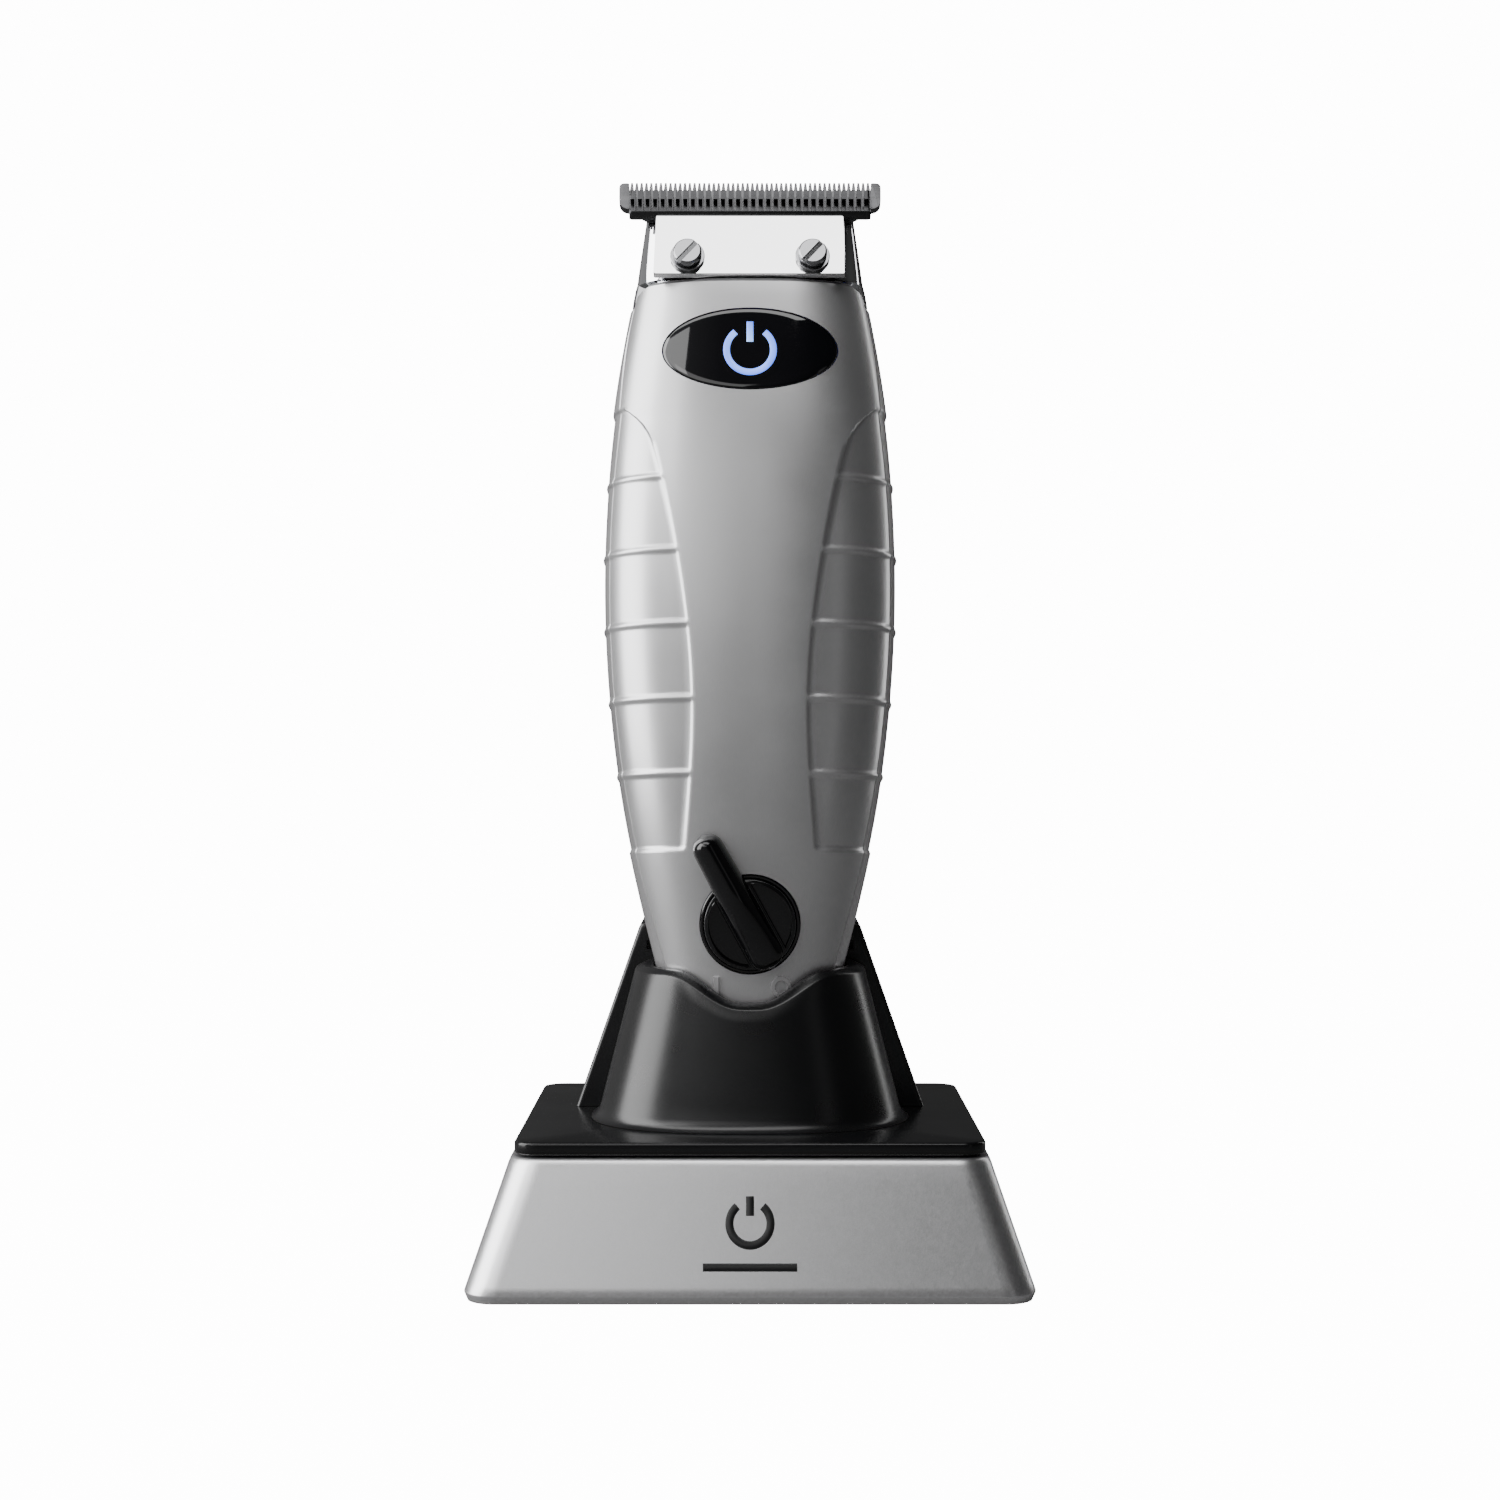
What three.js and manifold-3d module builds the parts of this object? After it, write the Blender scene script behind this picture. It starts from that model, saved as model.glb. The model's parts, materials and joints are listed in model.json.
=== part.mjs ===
// A cordless T-blade trimmer standing in its charging stand.
// Millimetres, +Z up, front towards -Y, +X to the right seen from the front.
// The origin is the centre of the stand's footprint, on the surface it stands on.
// The trimmer leans back in the stand, so its pieces are built in a group of their own:
// there +Z runs along the trimmer from its charging end to its blade.

import * as THREE from 'three';
import { mergeVertices } from 'three/addons/utils/BufferGeometryUtils.js';
import Module from 'manifold-3d';

// ---------- driving dimensions: stand ----------
const PLINTH_BOTTOM = { width: 81.6, depth: 76 };
const PLINTH_TOP = { width: 68.5, depth: 63 };
const PLINTH_CORNER = 4;
const PLINTH_LOW = 0.5;
const PLINTH_BEVEL = 1.3;
const PLINTH_HIGH = 20;
const PLINTH_WALL = 2.2;
const SEAT_GAP = 0.3;
const DECK = { width: 67.4, depth: 62, corner: 3.5, low: PLINTH_HIGH + SEAT_GAP, high: 22.2 };
const PAD_HEIGHT = 1.1;
const BASE_PLATE = { low: 1.4, high: 3.4, inset: 6.8 };
const BASE_SCREW_X = 31;
const BASE_SCREW_Y = 27.5;
const CRADLE_LOW = DECK.high + SEAT_GAP;
const CRADLE_FOOT = { halfWidth: 23, front: 19.2, rear: 20 };
const CRADLE_RIM = { halfWidth: 17, front: 15.5, rear: 18, height: 46 };
const CRADLE_CENTRE_Y = -3;
const CRADLE_POWER = 2.5;
const INLET = { height: 10, collarRadius: 3.3, mouthRadius: 2.6, pinRadius: 0.7, wallHole: 3.6 };
const CONTACT_BLOCK = { halfWidth: 8, halfDepth: 4, low: 13.5, high: 22 };
const RIM_DIP = 40;
const RIM_SIDE = 45;
const DIP_FLAT = 2;
const DIP_REACH = 11;
const BACKREST_FRONT_Y = 4;
const BACKREST_FOOT = { halfWidth: 26.8, rearY: 24 };
const BACKREST_TOP = { halfWidth: 16.9, rearY: 19.5, height: 50.8 };
const POCKET_GAP = 0.5;
const CONTACT_X = 3.5;
const PIN_RADIUS = 0.9;
const PIN_TIP = 25.85;

// ---------- driving dimensions: trimmer ----------
const LEAN = THREE.MathUtils.degToRad(-5);
const TRIMMER_FOOT = new THREE.Vector3(0, -5.7, 26);
const WALL = 2.2;
const SPLIT_Y = -8;
const SPLIT_GAP = 0.1;
const HOUSING_TOP = 123.8;
const FRONT_TOP = 121.9;
const REAR_TOP = 119;
const FOOT_ROUNDING = 1.2;
const END_CAP_RADIUS = 6;
const SCREW_HEAD_Y = 6.5;
const SECTION_POWER = 2.8;
// height, half width, depth in front of the axis, depth behind it
const HOUSING_STATIONS = [
  [0, 9.5, 9.5, 9.5],
  [18, 14, 12.2, 12.6],
  [41, 19.3, 15.6, 16],
  [59, 21.7, 16.6, 17.6],
  [77.5, 22.5, 16.6, 18],
  [90, 22.1, 16, 17.6],
  [108.4, 20.2, 14, 16],
  [HOUSING_TOP, 17.4, 11.5, 13.5],
];
const GRIP = { low: 36.1, high: 102.4, depth: 0.45 };
const RIB = { first: 47.2, pitch: 11.05, count: 5, height: 1.2 };
// height, distance of the grip's inner edge from the middle
const GRIP_EDGE = [
  [GRIP.low, 9.8],
  [47.2, 8.9],
  [59.2, 8.6],
  [68.3, 9.2],
  [80.3, 10.9],
  [95.4, 14.3],
  [100.1, 16.6],
  [GRIP.high, 19],
];
const LENS = { height: 110.7, halfWidth: 13.1, halfHeight: 6.3, thickness: 1.6 };
const KNOB_CENTRE = new THREE.Vector3(0, -13.4, 25);
const KNOB_TILT = THREE.MathUtils.degToRad(9);
const KNOB = { radius: 6.65, front: -0.9, rear: 2 };
const LEVER = { tip: 15.1, tail: 6.7, width: 5, front: -4.2, rear: -0.6, angle: 28.4 };
const BEZEL_RADIUS = 7.35;
const MOTOR = { y: 1, radius: 10.5, low: 84, high: 105 };
const SHAFT_RADIUS = 1.2;
const CRANK_OFFSET = 1;
const CRANK_RADIUS = 0.8;
const BLADE_TRAVEL = 1;
const CELL = { y: 1.5, radius: 9, low: 34, high: 80 };
const HEAD_TILT = THREE.MathUtils.degToRad(-17);
const HEAD_PIVOT = new THREE.Vector3(0, -11.5, 124);
const PLATE = { halfWidth: 14.4, low: -1.4, height: 8.4, thickness: 1 };
const BLADE_SCREW = { x: 9.4, height: 1.2 };
const COMB = { halfWidth: 20, teeth: 50, low: 9.6, root: 14, tip: 15.4, front: 1.95, thickness: 1.2 };
const COMB_GROOVE = { low: 12.4, depth: 0.6 };
const EAR_WIDTH = 2;
const CUTTER = { halfWidth: 18.6, teeth: 32, low: 8.75, root: 10.2, tip: 13.2, front: 0.3, back: 1.7 };
const TOOTH_SHARE = 0.62;
const BLADE_STEM = { halfWidth: 13, low: -0.9 };
const BLADE_WINDOW = { halfWidth: 6.2, low: 2.4, high: 7.4 };

// ---------- solids ----------
const wasm = await Module();
wasm.setup();

function toSolid(geometry) {
  const plain = geometry.clone();
  plain.deleteAttribute('normal');
  plain.deleteAttribute('uv');
  const merged = mergeVertices(plain, 1e-4);
  return new wasm.Manifold(new wasm.Mesh({
    numProp: 3,
    vertProperties: new Float32Array(merged.attributes.position.array),
    triVerts: new Uint32Array(merged.index.array),
  }));
}

function toGeometry(solid) {
  const mesh = solid.getMesh();
  const geometry = new THREE.BufferGeometry();
  geometry.setAttribute('position', new THREE.BufferAttribute(new Float32Array(mesh.vertProperties), 3));
  geometry.setIndex(new THREE.BufferAttribute(new Uint32Array(mesh.triVerts), 1));
  geometry.computeVertexNormals();
  return geometry;
}

function join(first, ...others) {
  return toGeometry(others.reduce((sum, other) => sum.add(toSolid(other)), toSolid(first)));
}

function cut(first, ...tools) {
  return toGeometry(tools.reduce((rest, tool) => rest.subtract(toSolid(tool)), toSolid(first)));
}

function common(first, ...others) {
  return toGeometry(others.reduce((rest, other) => rest.intersect(toSolid(other)), toSolid(first)));
}

function box(low, high) {
  const size = high.map((value, axis) => value - low[axis]);
  const centre = high.map((value, axis) => (value + low[axis]) / 2);
  return new THREE.BoxGeometry(...size).translate(...centre);
}

function upright(radius, low, high, x = 0, y = 0, sides = 20) {
  const cylinder = new THREE.CylinderGeometry(radius, radius, high - low, sides);
  return cylinder.rotateX(Math.PI / 2).translate(x, y, (low + high) / 2);
}

// a cylinder along Y
function lying(radius, frontY, rearY, x = 0, z = 0, sides = 24) {
  const cylinder = new THREE.CylinderGeometry(radius, radius, rearY - frontY, sides);
  return cylinder.translate(x, (frontY + rearY) / 2, z);
}

// closed rings of the same number of points, joined in a stack and capped
function loft(rings) {
  const count = rings[0].length;
  const positions = [];
  const indices = [];
  rings.forEach((ring) => ring.forEach((point) => positions.push(point.x, point.y, point.z)));
  for (let level = 0; level < rings.length - 1; level += 1) {
    for (let i = 0; i < count; i += 1) {
      const a = level * count + i;
      const b = level * count + ((i + 1) % count);
      indices.push(a, b, b + count, a, b + count, a + count);
    }
  }
  addCap(rings[0], 0, true, positions, indices);
  addCap(rings[rings.length - 1], (rings.length - 1) * count, false, positions, indices);
  const geometry = new THREE.BufferGeometry();
  geometry.setAttribute('position', new THREE.Float32BufferAttribute(positions, 3));
  geometry.setIndex(indices);
  return geometry;
}

function addCap(ring, first, facesDown, positions, indices) {
  const centre = new THREE.Vector3();
  ring.forEach((point) => centre.add(point));
  centre.divideScalar(ring.length);
  const hub = positions.length / 3;
  positions.push(centre.x, centre.y, centre.z);
  for (let i = 0; i < ring.length; i += 1) {
    const a = first + i;
    const b = first + ((i + 1) % ring.length);
    indices.push(...(facesDown ? [hub, b, a] : [hub, a, b]));
  }
}

// a rounded oval section with its own depth in front of and behind its centre line
function ovalRing(z, halfWidth, front, rear, centreY = 0, power = SECTION_POWER, count = 36) {
  const ring = [];
  for (let i = 0; i < count; i += 1) {
    const angle = (i / count) * 2 * Math.PI;
    const across = Math.cos(angle);
    const along = Math.sin(angle);
    const depth = along < 0 ? front : rear;
    const x = halfWidth * Math.sign(across) * Math.abs(across) ** (2 / power);
    const y = depth * Math.sign(along) * Math.abs(along) ** (2 / power);
    ring.push(new THREE.Vector3(x, centreY + y, z));
  }
  return ring;
}

function roundedRing(z, width, depth, corner, stepsPerCorner = 4) {
  const ring = [];
  const centres = [[1, 1], [-1, 1], [-1, -1], [1, -1]];
  centres.forEach(([sx, sy], quarter) => {
    for (let step = 0; step <= stepsPerCorner; step += 1) {
      const angle = (quarter + step / stepsPerCorner) * (Math.PI / 2);
      const x = sx * (width / 2 - corner) + corner * Math.cos(angle);
      const y = sy * (depth / 2 - corner) + corner * Math.sin(angle);
      ring.push(new THREE.Vector3(x, y, z));
    }
  });
  return ring;
}

function roundedPlate(width, depth, corner, low, high) {
  return loft([roundedRing(low, width, depth, corner), roundedRing(high, width, depth, corner)]);
}

// a flat outline of [x, height] points, thickened along Y from frontY to backY
function sheet(outline, frontY, backY) {
  const shape = new THREE.Shape(outline.map(([x, z]) => new THREE.Vector2(x, z)));
  const solid = new THREE.ExtrudeGeometry(shape, { depth: backY - frontY, bevelEnabled: false });
  return solid.rotateX(Math.PI / 2).translate(0, backY, 0);
}

// ---------- materials ----------
function material(color, roughness, metalness) {
  return new THREE.MeshStandardMaterial({ color, roughness, metalness });
}

const silverPaint = material(0xa9aaac, 0.3, 0.5);
const blackGloss = material(0x0b0b0d, 0.15, 0);
const blackSatin = material(0x141416, 0.4, 0);
const plinthMetal = material(0xb4b5b7, 0.45, 0.9);
const chrome = material(0xe2e4e6, 0.05, 1);
const bladeSteel = material(0x6a6b6e, 0.3, 1);
const plainSteel = material(0x8d9095, 0.35, 1);
const brass = material(0xc9a04a, 0.3, 1);
const rubber = material(0x1a1a1a, 0.9, 0);
const boardGreen = material(0x1d5b35, 0.6, 0);
const whitePlastic = material(0xe8e8e4, 0.5, 0);
const cellBlue = material(0x2f6fae, 0.4, 0);
const lightGuideClear = material(0x9cc4ff, 0.2, 0);

const object = new THREE.Group();
const trimmer = new THREE.Group();
trimmer.position.copy(TRIMMER_FOOT);
trimmer.rotation.x = LEAN;
object.add(trimmer);
const head = new THREE.Group();
head.position.copy(HEAD_PIVOT);
head.rotation.x = HEAD_TILT;
trimmer.add(head);
// the rotary switch's own group: its origin on the housing's face, +Y going inwards along its shaft
const switchFace = new THREE.Group();
switchFace.position.copy(KNOB_CENTRE);
switchFace.rotation.x = KNOB_TILT;
trimmer.add(switchFace);

function add(parent, name, geometry, look) {
  const mesh = new THREE.Mesh(geometry, look);
  mesh.name = name;
  parent.add(mesh);
}

// ---------- stand ----------
const baseScrewPlaces = [[-1, -1], [1, -1], [1, 1], [-1, 1]].map(([sx, sy]) => [sx * BASE_SCREW_X, sy * BASE_SCREW_Y]);
const PINS = [['left', -CONTACT_X], ['right', CONTACT_X]];
const CONTACT_Y = TRIMMER_FOOT.y;
const SCREW_CORE = 1.1;
const SCREW_HOLE = 1.4;

function plinthRing(z, inset) {
  const share = (z - PLINTH_LOW) / (PLINTH_HIGH - PLINTH_LOW);
  const width = THREE.MathUtils.lerp(PLINTH_BOTTOM.width, PLINTH_TOP.width, share) - 2 * inset;
  const depth = THREE.MathUtils.lerp(PLINTH_BOTTOM.depth, PLINTH_TOP.depth, share) - 2 * inset;
  return roundedRing(z, width, depth, PLINTH_CORNER - Math.min(inset, 2));
}

function plinthShell() {
  const outer = loft([
    plinthRing(PLINTH_LOW, 1),
    plinthRing(PLINTH_LOW + PLINTH_BEVEL, 0),
    plinthRing(PLINTH_HIGH, 0),
  ]);
  const inner = loft([
    plinthRing(PLINTH_LOW - 1, PLINTH_WALL),
    plinthRing(PLINTH_HIGH - PLINTH_WALL, PLINTH_WALL),
  ]);
  const bosses = baseScrewPlaces.map(([x, y]) => upright(3, BASE_PLATE.high + SEAT_GAP, PLINTH_HIGH - 1, x, y));
  const bossHoles = baseScrewPlaces.map(([x, y]) => upright(SCREW_HOLE, 0, 12, x, y, 12));
  const blockHole = contactBlockRoom(1, PLINTH_HIGH - 5, PLINTH_HIGH + 1);
  const inletHole = lying(INLET.wallHole, 25, 40, 0, INLET.height);
  const walls = cut(outer, inner);
  return cut(join(walls, ...bosses), ...bossHoles, blockHole, inletHole);
}

function contactBlockRoom(grow, low, high) {
  const halfWidth = CONTACT_BLOCK.halfWidth + grow;
  const halfDepth = CONTACT_BLOCK.halfDepth + grow;
  return box([-halfWidth, CONTACT_Y - halfDepth, low], [halfWidth, CONTACT_Y + halfDepth, high]);
}

function inletSocket() {
  const body = box([-4.5, 22.5, INLET.height - 4.5], [4.5, 31, INLET.height + 4.5]);
  const collar = lying(INLET.collarRadius, 30, 34.2, 0, INLET.height);
  const mouth = lying(INLET.mouthRadius, 25, 36, 0, INLET.height);
  const centrePin = lying(INLET.pinRadius, 24, 33, 0, INLET.height, 12);
  return join(cut(join(body, collar), mouth), centrePin);
}

function baseScrew(x, y) {
  const shank = upright(SCREW_CORE, 2.5, 11, x, y, 12);
  const headDisc = upright(2.1, 1.5, 2.6, x, y, 16);
  const slot = box([x - 1.6, y - 0.3, 1.2], [x + 1.6, y + 0.3, 1.9]);
  return cut(join(headDisc, shank), slot);
}

function basePlate() {
  const plate = roundedPlate(
    PLINTH_BOTTOM.width - BASE_PLATE.inset,
    PLINTH_BOTTOM.depth - BASE_PLATE.inset,
    2.5,
    BASE_PLATE.low,
    BASE_PLATE.high,
  );
  const holes = baseScrewPlaces.flatMap(([x, y]) => [
    upright(SCREW_HOLE, 0, 5, x, y, 12),
    upright(2.4, 0, 2.8, x, y, 16),
  ]);
  return cut(plate, ...holes);
}

function deckPlate() {
  const plate = loft([
    roundedRing(DECK.low, DECK.width, DECK.depth, DECK.corner),
    roundedRing(DECK.high - 0.5, DECK.width, DECK.depth, DECK.corner),
    roundedRing(DECK.high, DECK.width - 1, DECK.depth - 1, DECK.corner - 0.5),
  ]);
  return cut(plate, contactBlockRoom(0.4, DECK.low - 1, DECK.high + 1));
}

// the curved rim: low in the middle, rising to both sides
function aboveRim() {
  const reach = 30;
  const steps = 40;
  const outline = [[reach, 60], [-reach, 60]];
  for (let step = 0; step <= steps; step += 1) {
    const x = reach * ((2 * step) / steps - 1);
    const share = THREE.MathUtils.clamp((Math.abs(x) - DIP_FLAT) / (DIP_REACH - DIP_FLAT), 0, 1);
    const rise = (1 - Math.cos(Math.PI * share)) / 2;
    outline.push([x, RIM_DIP + (RIM_SIDE - RIM_DIP) * rise]);
  }
  return sheet(outline, -40, 40);
}

function pocketForTrimmer() {
  const rings = HOUSING_LEVELS.filter((t) => t < 60).map((t) => housingRing(t, -POCKET_GAP));
  rings[0] = housingRing(0, -POCKET_GAP + FOOT_ROUNDING, -POCKET_GAP);
  trimmer.updateMatrix();
  return loft(rings).applyMatrix4(trimmer.matrix);
}

function cradle() {
  const cone = loft([
    cradleRing(CRADLE_LOW, CRADLE_FOOT),
    cradleRing(CRADLE_RIM.height, CRADLE_RIM),
  ]);
  const backrest = loft([
    backrestRing(CRADLE_LOW, BACKREST_FOOT),
    backrestRing(BACKREST_TOP.height, BACKREST_TOP),
  ]);
  const pinHoles = PINS.map(([, x]) => upright(PIN_RADIUS + 0.3, CRADLE_LOW - 1, 30, x, CONTACT_Y, 12));
  const shell = join(cut(cone, aboveRim()), backrest);
  return cut(shell, pocketForTrimmer(), ...pinHoles);
}

function cradleRing(z, { halfWidth, front, rear }) {
  return ovalRing(z, halfWidth, front, rear, CRADLE_CENTRE_Y, CRADLE_POWER);
}

function backrestRing(z, { halfWidth, rearY }) {
  const depth = rearY - BACKREST_FRONT_Y;
  const middle = BACKREST_FRONT_Y + depth / 2;
  const ring = roundedRing(z, 2 * halfWidth, depth, 2.5);
  return ring.map((point) => point.add(new THREE.Vector3(0, middle, 0)));
}

function contactBlock() {
  const { low, high } = CONTACT_BLOCK;
  const block = contactBlockRoom(0, low, high);
  const bores = PINS.flatMap(([, x]) => [
    upright(1.75, low + 1, 20.5, x, CONTACT_Y, 16),
    upright(PIN_RADIUS + 0.25, 20, 24, x, CONTACT_Y, 12),
  ]);
  return cut(block, ...bores);
}

function contactPin(x) {
  const stem = upright(PIN_RADIUS, 19.5, PIN_TIP - 0.4, x, CONTACT_Y, 12);
  const tip = new THREE.CylinderGeometry(0.5, PIN_RADIUS, 0.5, 12).rotateX(Math.PI / 2)
    .translate(x, CONTACT_Y, PIN_TIP - 0.25);
  const flange = upright(1.45, 18.9, 20.1, x, CONTACT_Y, 16);
  return join(stem, tip, flange);
}

function contactSpring(x) {
  return cut(upright(1.4, 14.8, 18.6, x, CONTACT_Y, 16), upright(1, 14, 19, x, CONTACT_Y, 16));
}

// ---------- trimmer housing ----------
const HOUSING_LEVELS = [0, FOOT_ROUNDING, 9, 18, 29, 41, 59, 77.5, 93, 108.4, 116, HOUSING_TOP];
const heights = new THREE.CatmullRomCurve3(
  HOUSING_STATIONS.map(([t, halfWidth]) => new THREE.Vector3(t, halfWidth, 0)),
);
const depths = new THREE.CatmullRomCurve3(
  HOUSING_STATIONS.map(([t, , front, rear]) => new THREE.Vector3(t, front, rear)),
);

// the curve's point at height t, found by halving
function pointAt(curve, t) {
  let low = 0;
  let high = 1;
  for (let step = 0; step < 30; step += 1) {
    const middle = (low + high) / 2;
    if (curve.getPoint(middle).x < t) low = middle;
    else high = middle;
  }
  return curve.getPoint((low + high) / 2);
}

// the housing's section at height t, moved inwards by inset and set at height z
function housingRing(t, inset, z = t) {
  const clamped = Math.min(Math.max(t, 0), HOUSING_TOP);
  const halfWidth = pointAt(heights, clamped).y;
  const depth = pointAt(depths, clamped);
  return ovalRing(z, halfWidth - inset, depth.y - inset, depth.z - inset);
}

function housingBody(inset = 0) {
  const rings = HOUSING_LEVELS.map((t) => housingRing(t, inset));
  rings[0] = housingRing(0, FOOT_ROUNDING + inset);
  return loft(rings);
}

function housingHollow() {
  const rings = HOUSING_LEVELS.slice(1).map((t) => housingRing(t, WALL));
  rings[0] = housingRing(WALL, WALL + 0.8);
  rings.push(housingRing(HOUSING_TOP, WALL, HOUSING_TOP + 2));
  return loft(rings);
}

function ovalWindow(grow) {
  const oval = new THREE.CylinderGeometry(1, 1, 30, 40);
  oval.scale(LENS.halfWidth + grow, 1, LENS.halfHeight + grow);
  return oval.translate(0, -15, LENS.height);
}

const HOUSING_SCREWS = [
  ['lower_left', -7.4, 12, 2.2],
  ['lower_right', 7.4, 12, 2.2],
  ['upper_left', -14.2, 93, 2.6],
  ['upper_right', 14.2, 93, 2.6],
];

// the sunken grip panels, one on each side, leaving the ribs between them
function gripRecesses() {
  const reach = 40;
  const skin = cut(housingBody(-1), housingBody(GRIP.depth));
  const ribs = [...Array(RIB.count).keys()].map((i) => {
    const middle = RIB.first + i * RIB.pitch;
    return box([-reach, -reach, middle - RIB.height / 2], [reach, reach, middle + RIB.height / 2]);
  });
  return [-1, 1].map((side) => {
    const edge = GRIP_EDGE.map(([t, x]) => [side * x, t]);
    const panel = sheet([...edge, [side * reach, GRIP.high], [side * reach, GRIP.low]], -reach, reach);
    return cut(common(skin, panel), ...ribs);
  });
}

function housingShell() {
  const shell = cut(housingBody(), housingHollow());
  const bosses = HOUSING_SCREWS.map(([, x, z, radius]) => (
    common(lying(radius, -20, 20, x, z, 16), housingBody(0.4))
  ));
  return cut(join(shell, ...bosses), ...gripRecesses());
}

function frontHousing(shell) {
  switchFace.updateMatrix();
  const knobHole = lying(BEZEL_RADIUS + 0.2, -20, 6).applyMatrix4(switchFace.matrix);
  const screwHoles = HOUSING_SCREWS.map(([, x, z]) => lying(1.2, -9.5, 0, x, z, 12));
  return cut(
    shell,
    box([-40, SPLIT_Y, -10], [40, 40, 140]),
    box([-40, -40, FRONT_TOP], [40, 40, 140]),
    ovalWindow(0.2),
    knobHole,
    upright(END_CAP_RADIUS + 0.2, -5, 6, 0, 0, 32),
    ...screwHoles,
  );
}

function rearHousing(shell) {
  const screwHoles = HOUSING_SCREWS.flatMap(([, x, z]) => [
    lying(1.3, -10, 10, x, z, 12),
    lying(1.9, SCREW_HEAD_Y, 30, x, z, 16),
  ]);
  return cut(
    shell,
    box([-40, -40, -10], [40, SPLIT_Y + SPLIT_GAP, 140]),
    box([-40, -40, REAR_TOP], [40, 40, 140]),
    upright(END_CAP_RADIUS + 0.2, -5, 6, 0, 0, 32),
    ...screwHoles,
  );
}

function housingScrew(x, z) {
  const shank = lying(1, -9.2, SCREW_HEAD_Y + 1, x, z, 12);
  const headDisc = lying(1.7, SCREW_HEAD_Y + 0.3, SCREW_HEAD_Y + 1.8, x, z, 16);
  const slot = box([x - 1.2, SCREW_HEAD_Y + 1.2, z - 0.3], [x + 1.2, SCREW_HEAD_Y + 3, z + 0.3]);
  return cut(join(shank, headDisc), slot);
}

function lens() {
  const outerSkin = housingBody(0.1);
  const innerSkin = housingBody(LENS.thickness);
  return cut(common(ovalWindow(0), outerSkin), innerSkin);
}

function endCap() {
  const disc = upright(END_CAP_RADIUS, 0.3, 3.3, 0, 0, 32);
  const contactHoles = PINS.map(([, x]) => upright(1.7, -1, 5, x, 0, 16));
  return cut(disc, ...contactHoles);
}

// ---------- rotary switch ----------
function switchBezel() {
  const ring = lying(BEZEL_RADIUS, 0, 3.2, 0, 0, 32);
  return cut(ring, lying(KNOB.radius + 0.2, -5, 8, 0, 0, 32));
}

function switchKnob() {
  const disc = lying(KNOB.radius, KNOB.front, KNOB.rear, 0, 0, 32);
  const tipZ = LEVER.tip - LEVER.width / 2;
  const tailZ = LEVER.width / 2 - LEVER.tail;
  const bar = box([-LEVER.width / 2, LEVER.front, tailZ], [LEVER.width / 2, LEVER.rear, tipZ]);
  const ends = [tipZ, tailZ].map((z) => lying(LEVER.width / 2, LEVER.front, LEVER.rear, 0, z, 16));
  return join(disc, bar, ...ends).rotateY(THREE.MathUtils.degToRad(-LEVER.angle));
}

function switchShaft() {
  const stem = lying(2, KNOB.rear + 0.3, 9, 0, 0, 16);
  const key = box([-3.4, 5.2, -1], [3.4, 6.8, 1]);
  return join(stem, key);
}

function switchBody() {
  const body = box([-6, 4.2, -5.6], [6, 10.6, 5.6]);
  return cut(body, lying(4.2, 0, 9.4, 0, 0, 20));
}

// ---------- drive ----------
function motorCan() {
  const can = upright(MOTOR.radius, MOTOR.low, MOTOR.high, 0, MOTOR.y, 28);
  const collar = upright(3.2, MOTOR.high - 1, MOTOR.high + 1.2, 0, MOTOR.y, 20);
  const bore = upright(SHAFT_RADIUS + 0.3, MOTOR.high - 12, MOTOR.high + 5, 0, MOTOR.y, 16);
  return cut(join(can, collar), bore);
}

function motorBracket() {
  const low = MOTOR.high + 0.3;
  const plate = upright(12, low, low + 1.4, 0, MOTOR.y, 28);
  const hole = upright(3.6, low - 1, low + 3, 0, MOTOR.y, 20);
  return cut(plate, hole);
}

const CAM = { low: MOTOR.high + 2.4, high: MOTOR.high + 4.8, radius: 2.8 };

function motorShaft() {
  return upright(SHAFT_RADIUS, MOTOR.high - 11, CAM.low - 0.3, 0, MOTOR.y, 16);
}

function eccentricCam() {
  const disc = upright(CAM.radius, CAM.low, CAM.high, 0, MOTOR.y, 20);
  const crank = upright(CRANK_RADIUS, CAM.high - 0.5, CAM.high + 3.4, CRANK_OFFSET, MOTOR.y, 12);
  return join(disc, crank);
}

// the fork's hole clears the crank's whole turn at both ends of the blade's travel
function driveYoke() {
  const low = CAM.high + 0.6;
  const high = low + 2.6;
  const reach = CRANK_OFFSET + CRANK_RADIUS + BLADE_TRAVEL + 0.4;
  const frame = box([-reach - 2, MOTOR.y - reach - 2, low], [reach + 2, MOTOR.y + reach + 2, high]);
  const hole = box([-reach, MOTOR.y - reach, low - 1], [reach, MOTOR.y + reach, high + 1]);
  const arm = box([-2.6, MOTOR.y - reach - 2, low], [2.6, MOTOR.y - reach, 129.2]);
  const finger = box([-2.2, -7.7, 127], [2.2, MOTOR.y - reach - 1, 129.2]);
  return join(cut(frame, hole), arm, finger);
}

// ---------- head ----------
const NOSE_FOOT = { height: 123, halfWidth: 17.3, front: 10.5, rear: 13.3 };
const NOSE_TIP = { height: 134.2, halfWidth: 15.7, front: 7, rear: 1.2 };
const NOSE_POWER = 4;
const SPIGOT_LOW = 114.6;
const SPIGOT_INSET = WALL + 0.5;

function noseRing({ height, halfWidth, front, rear }) {
  return ovalRing(height, halfWidth, front, rear, 0, NOSE_POWER);
}

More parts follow.
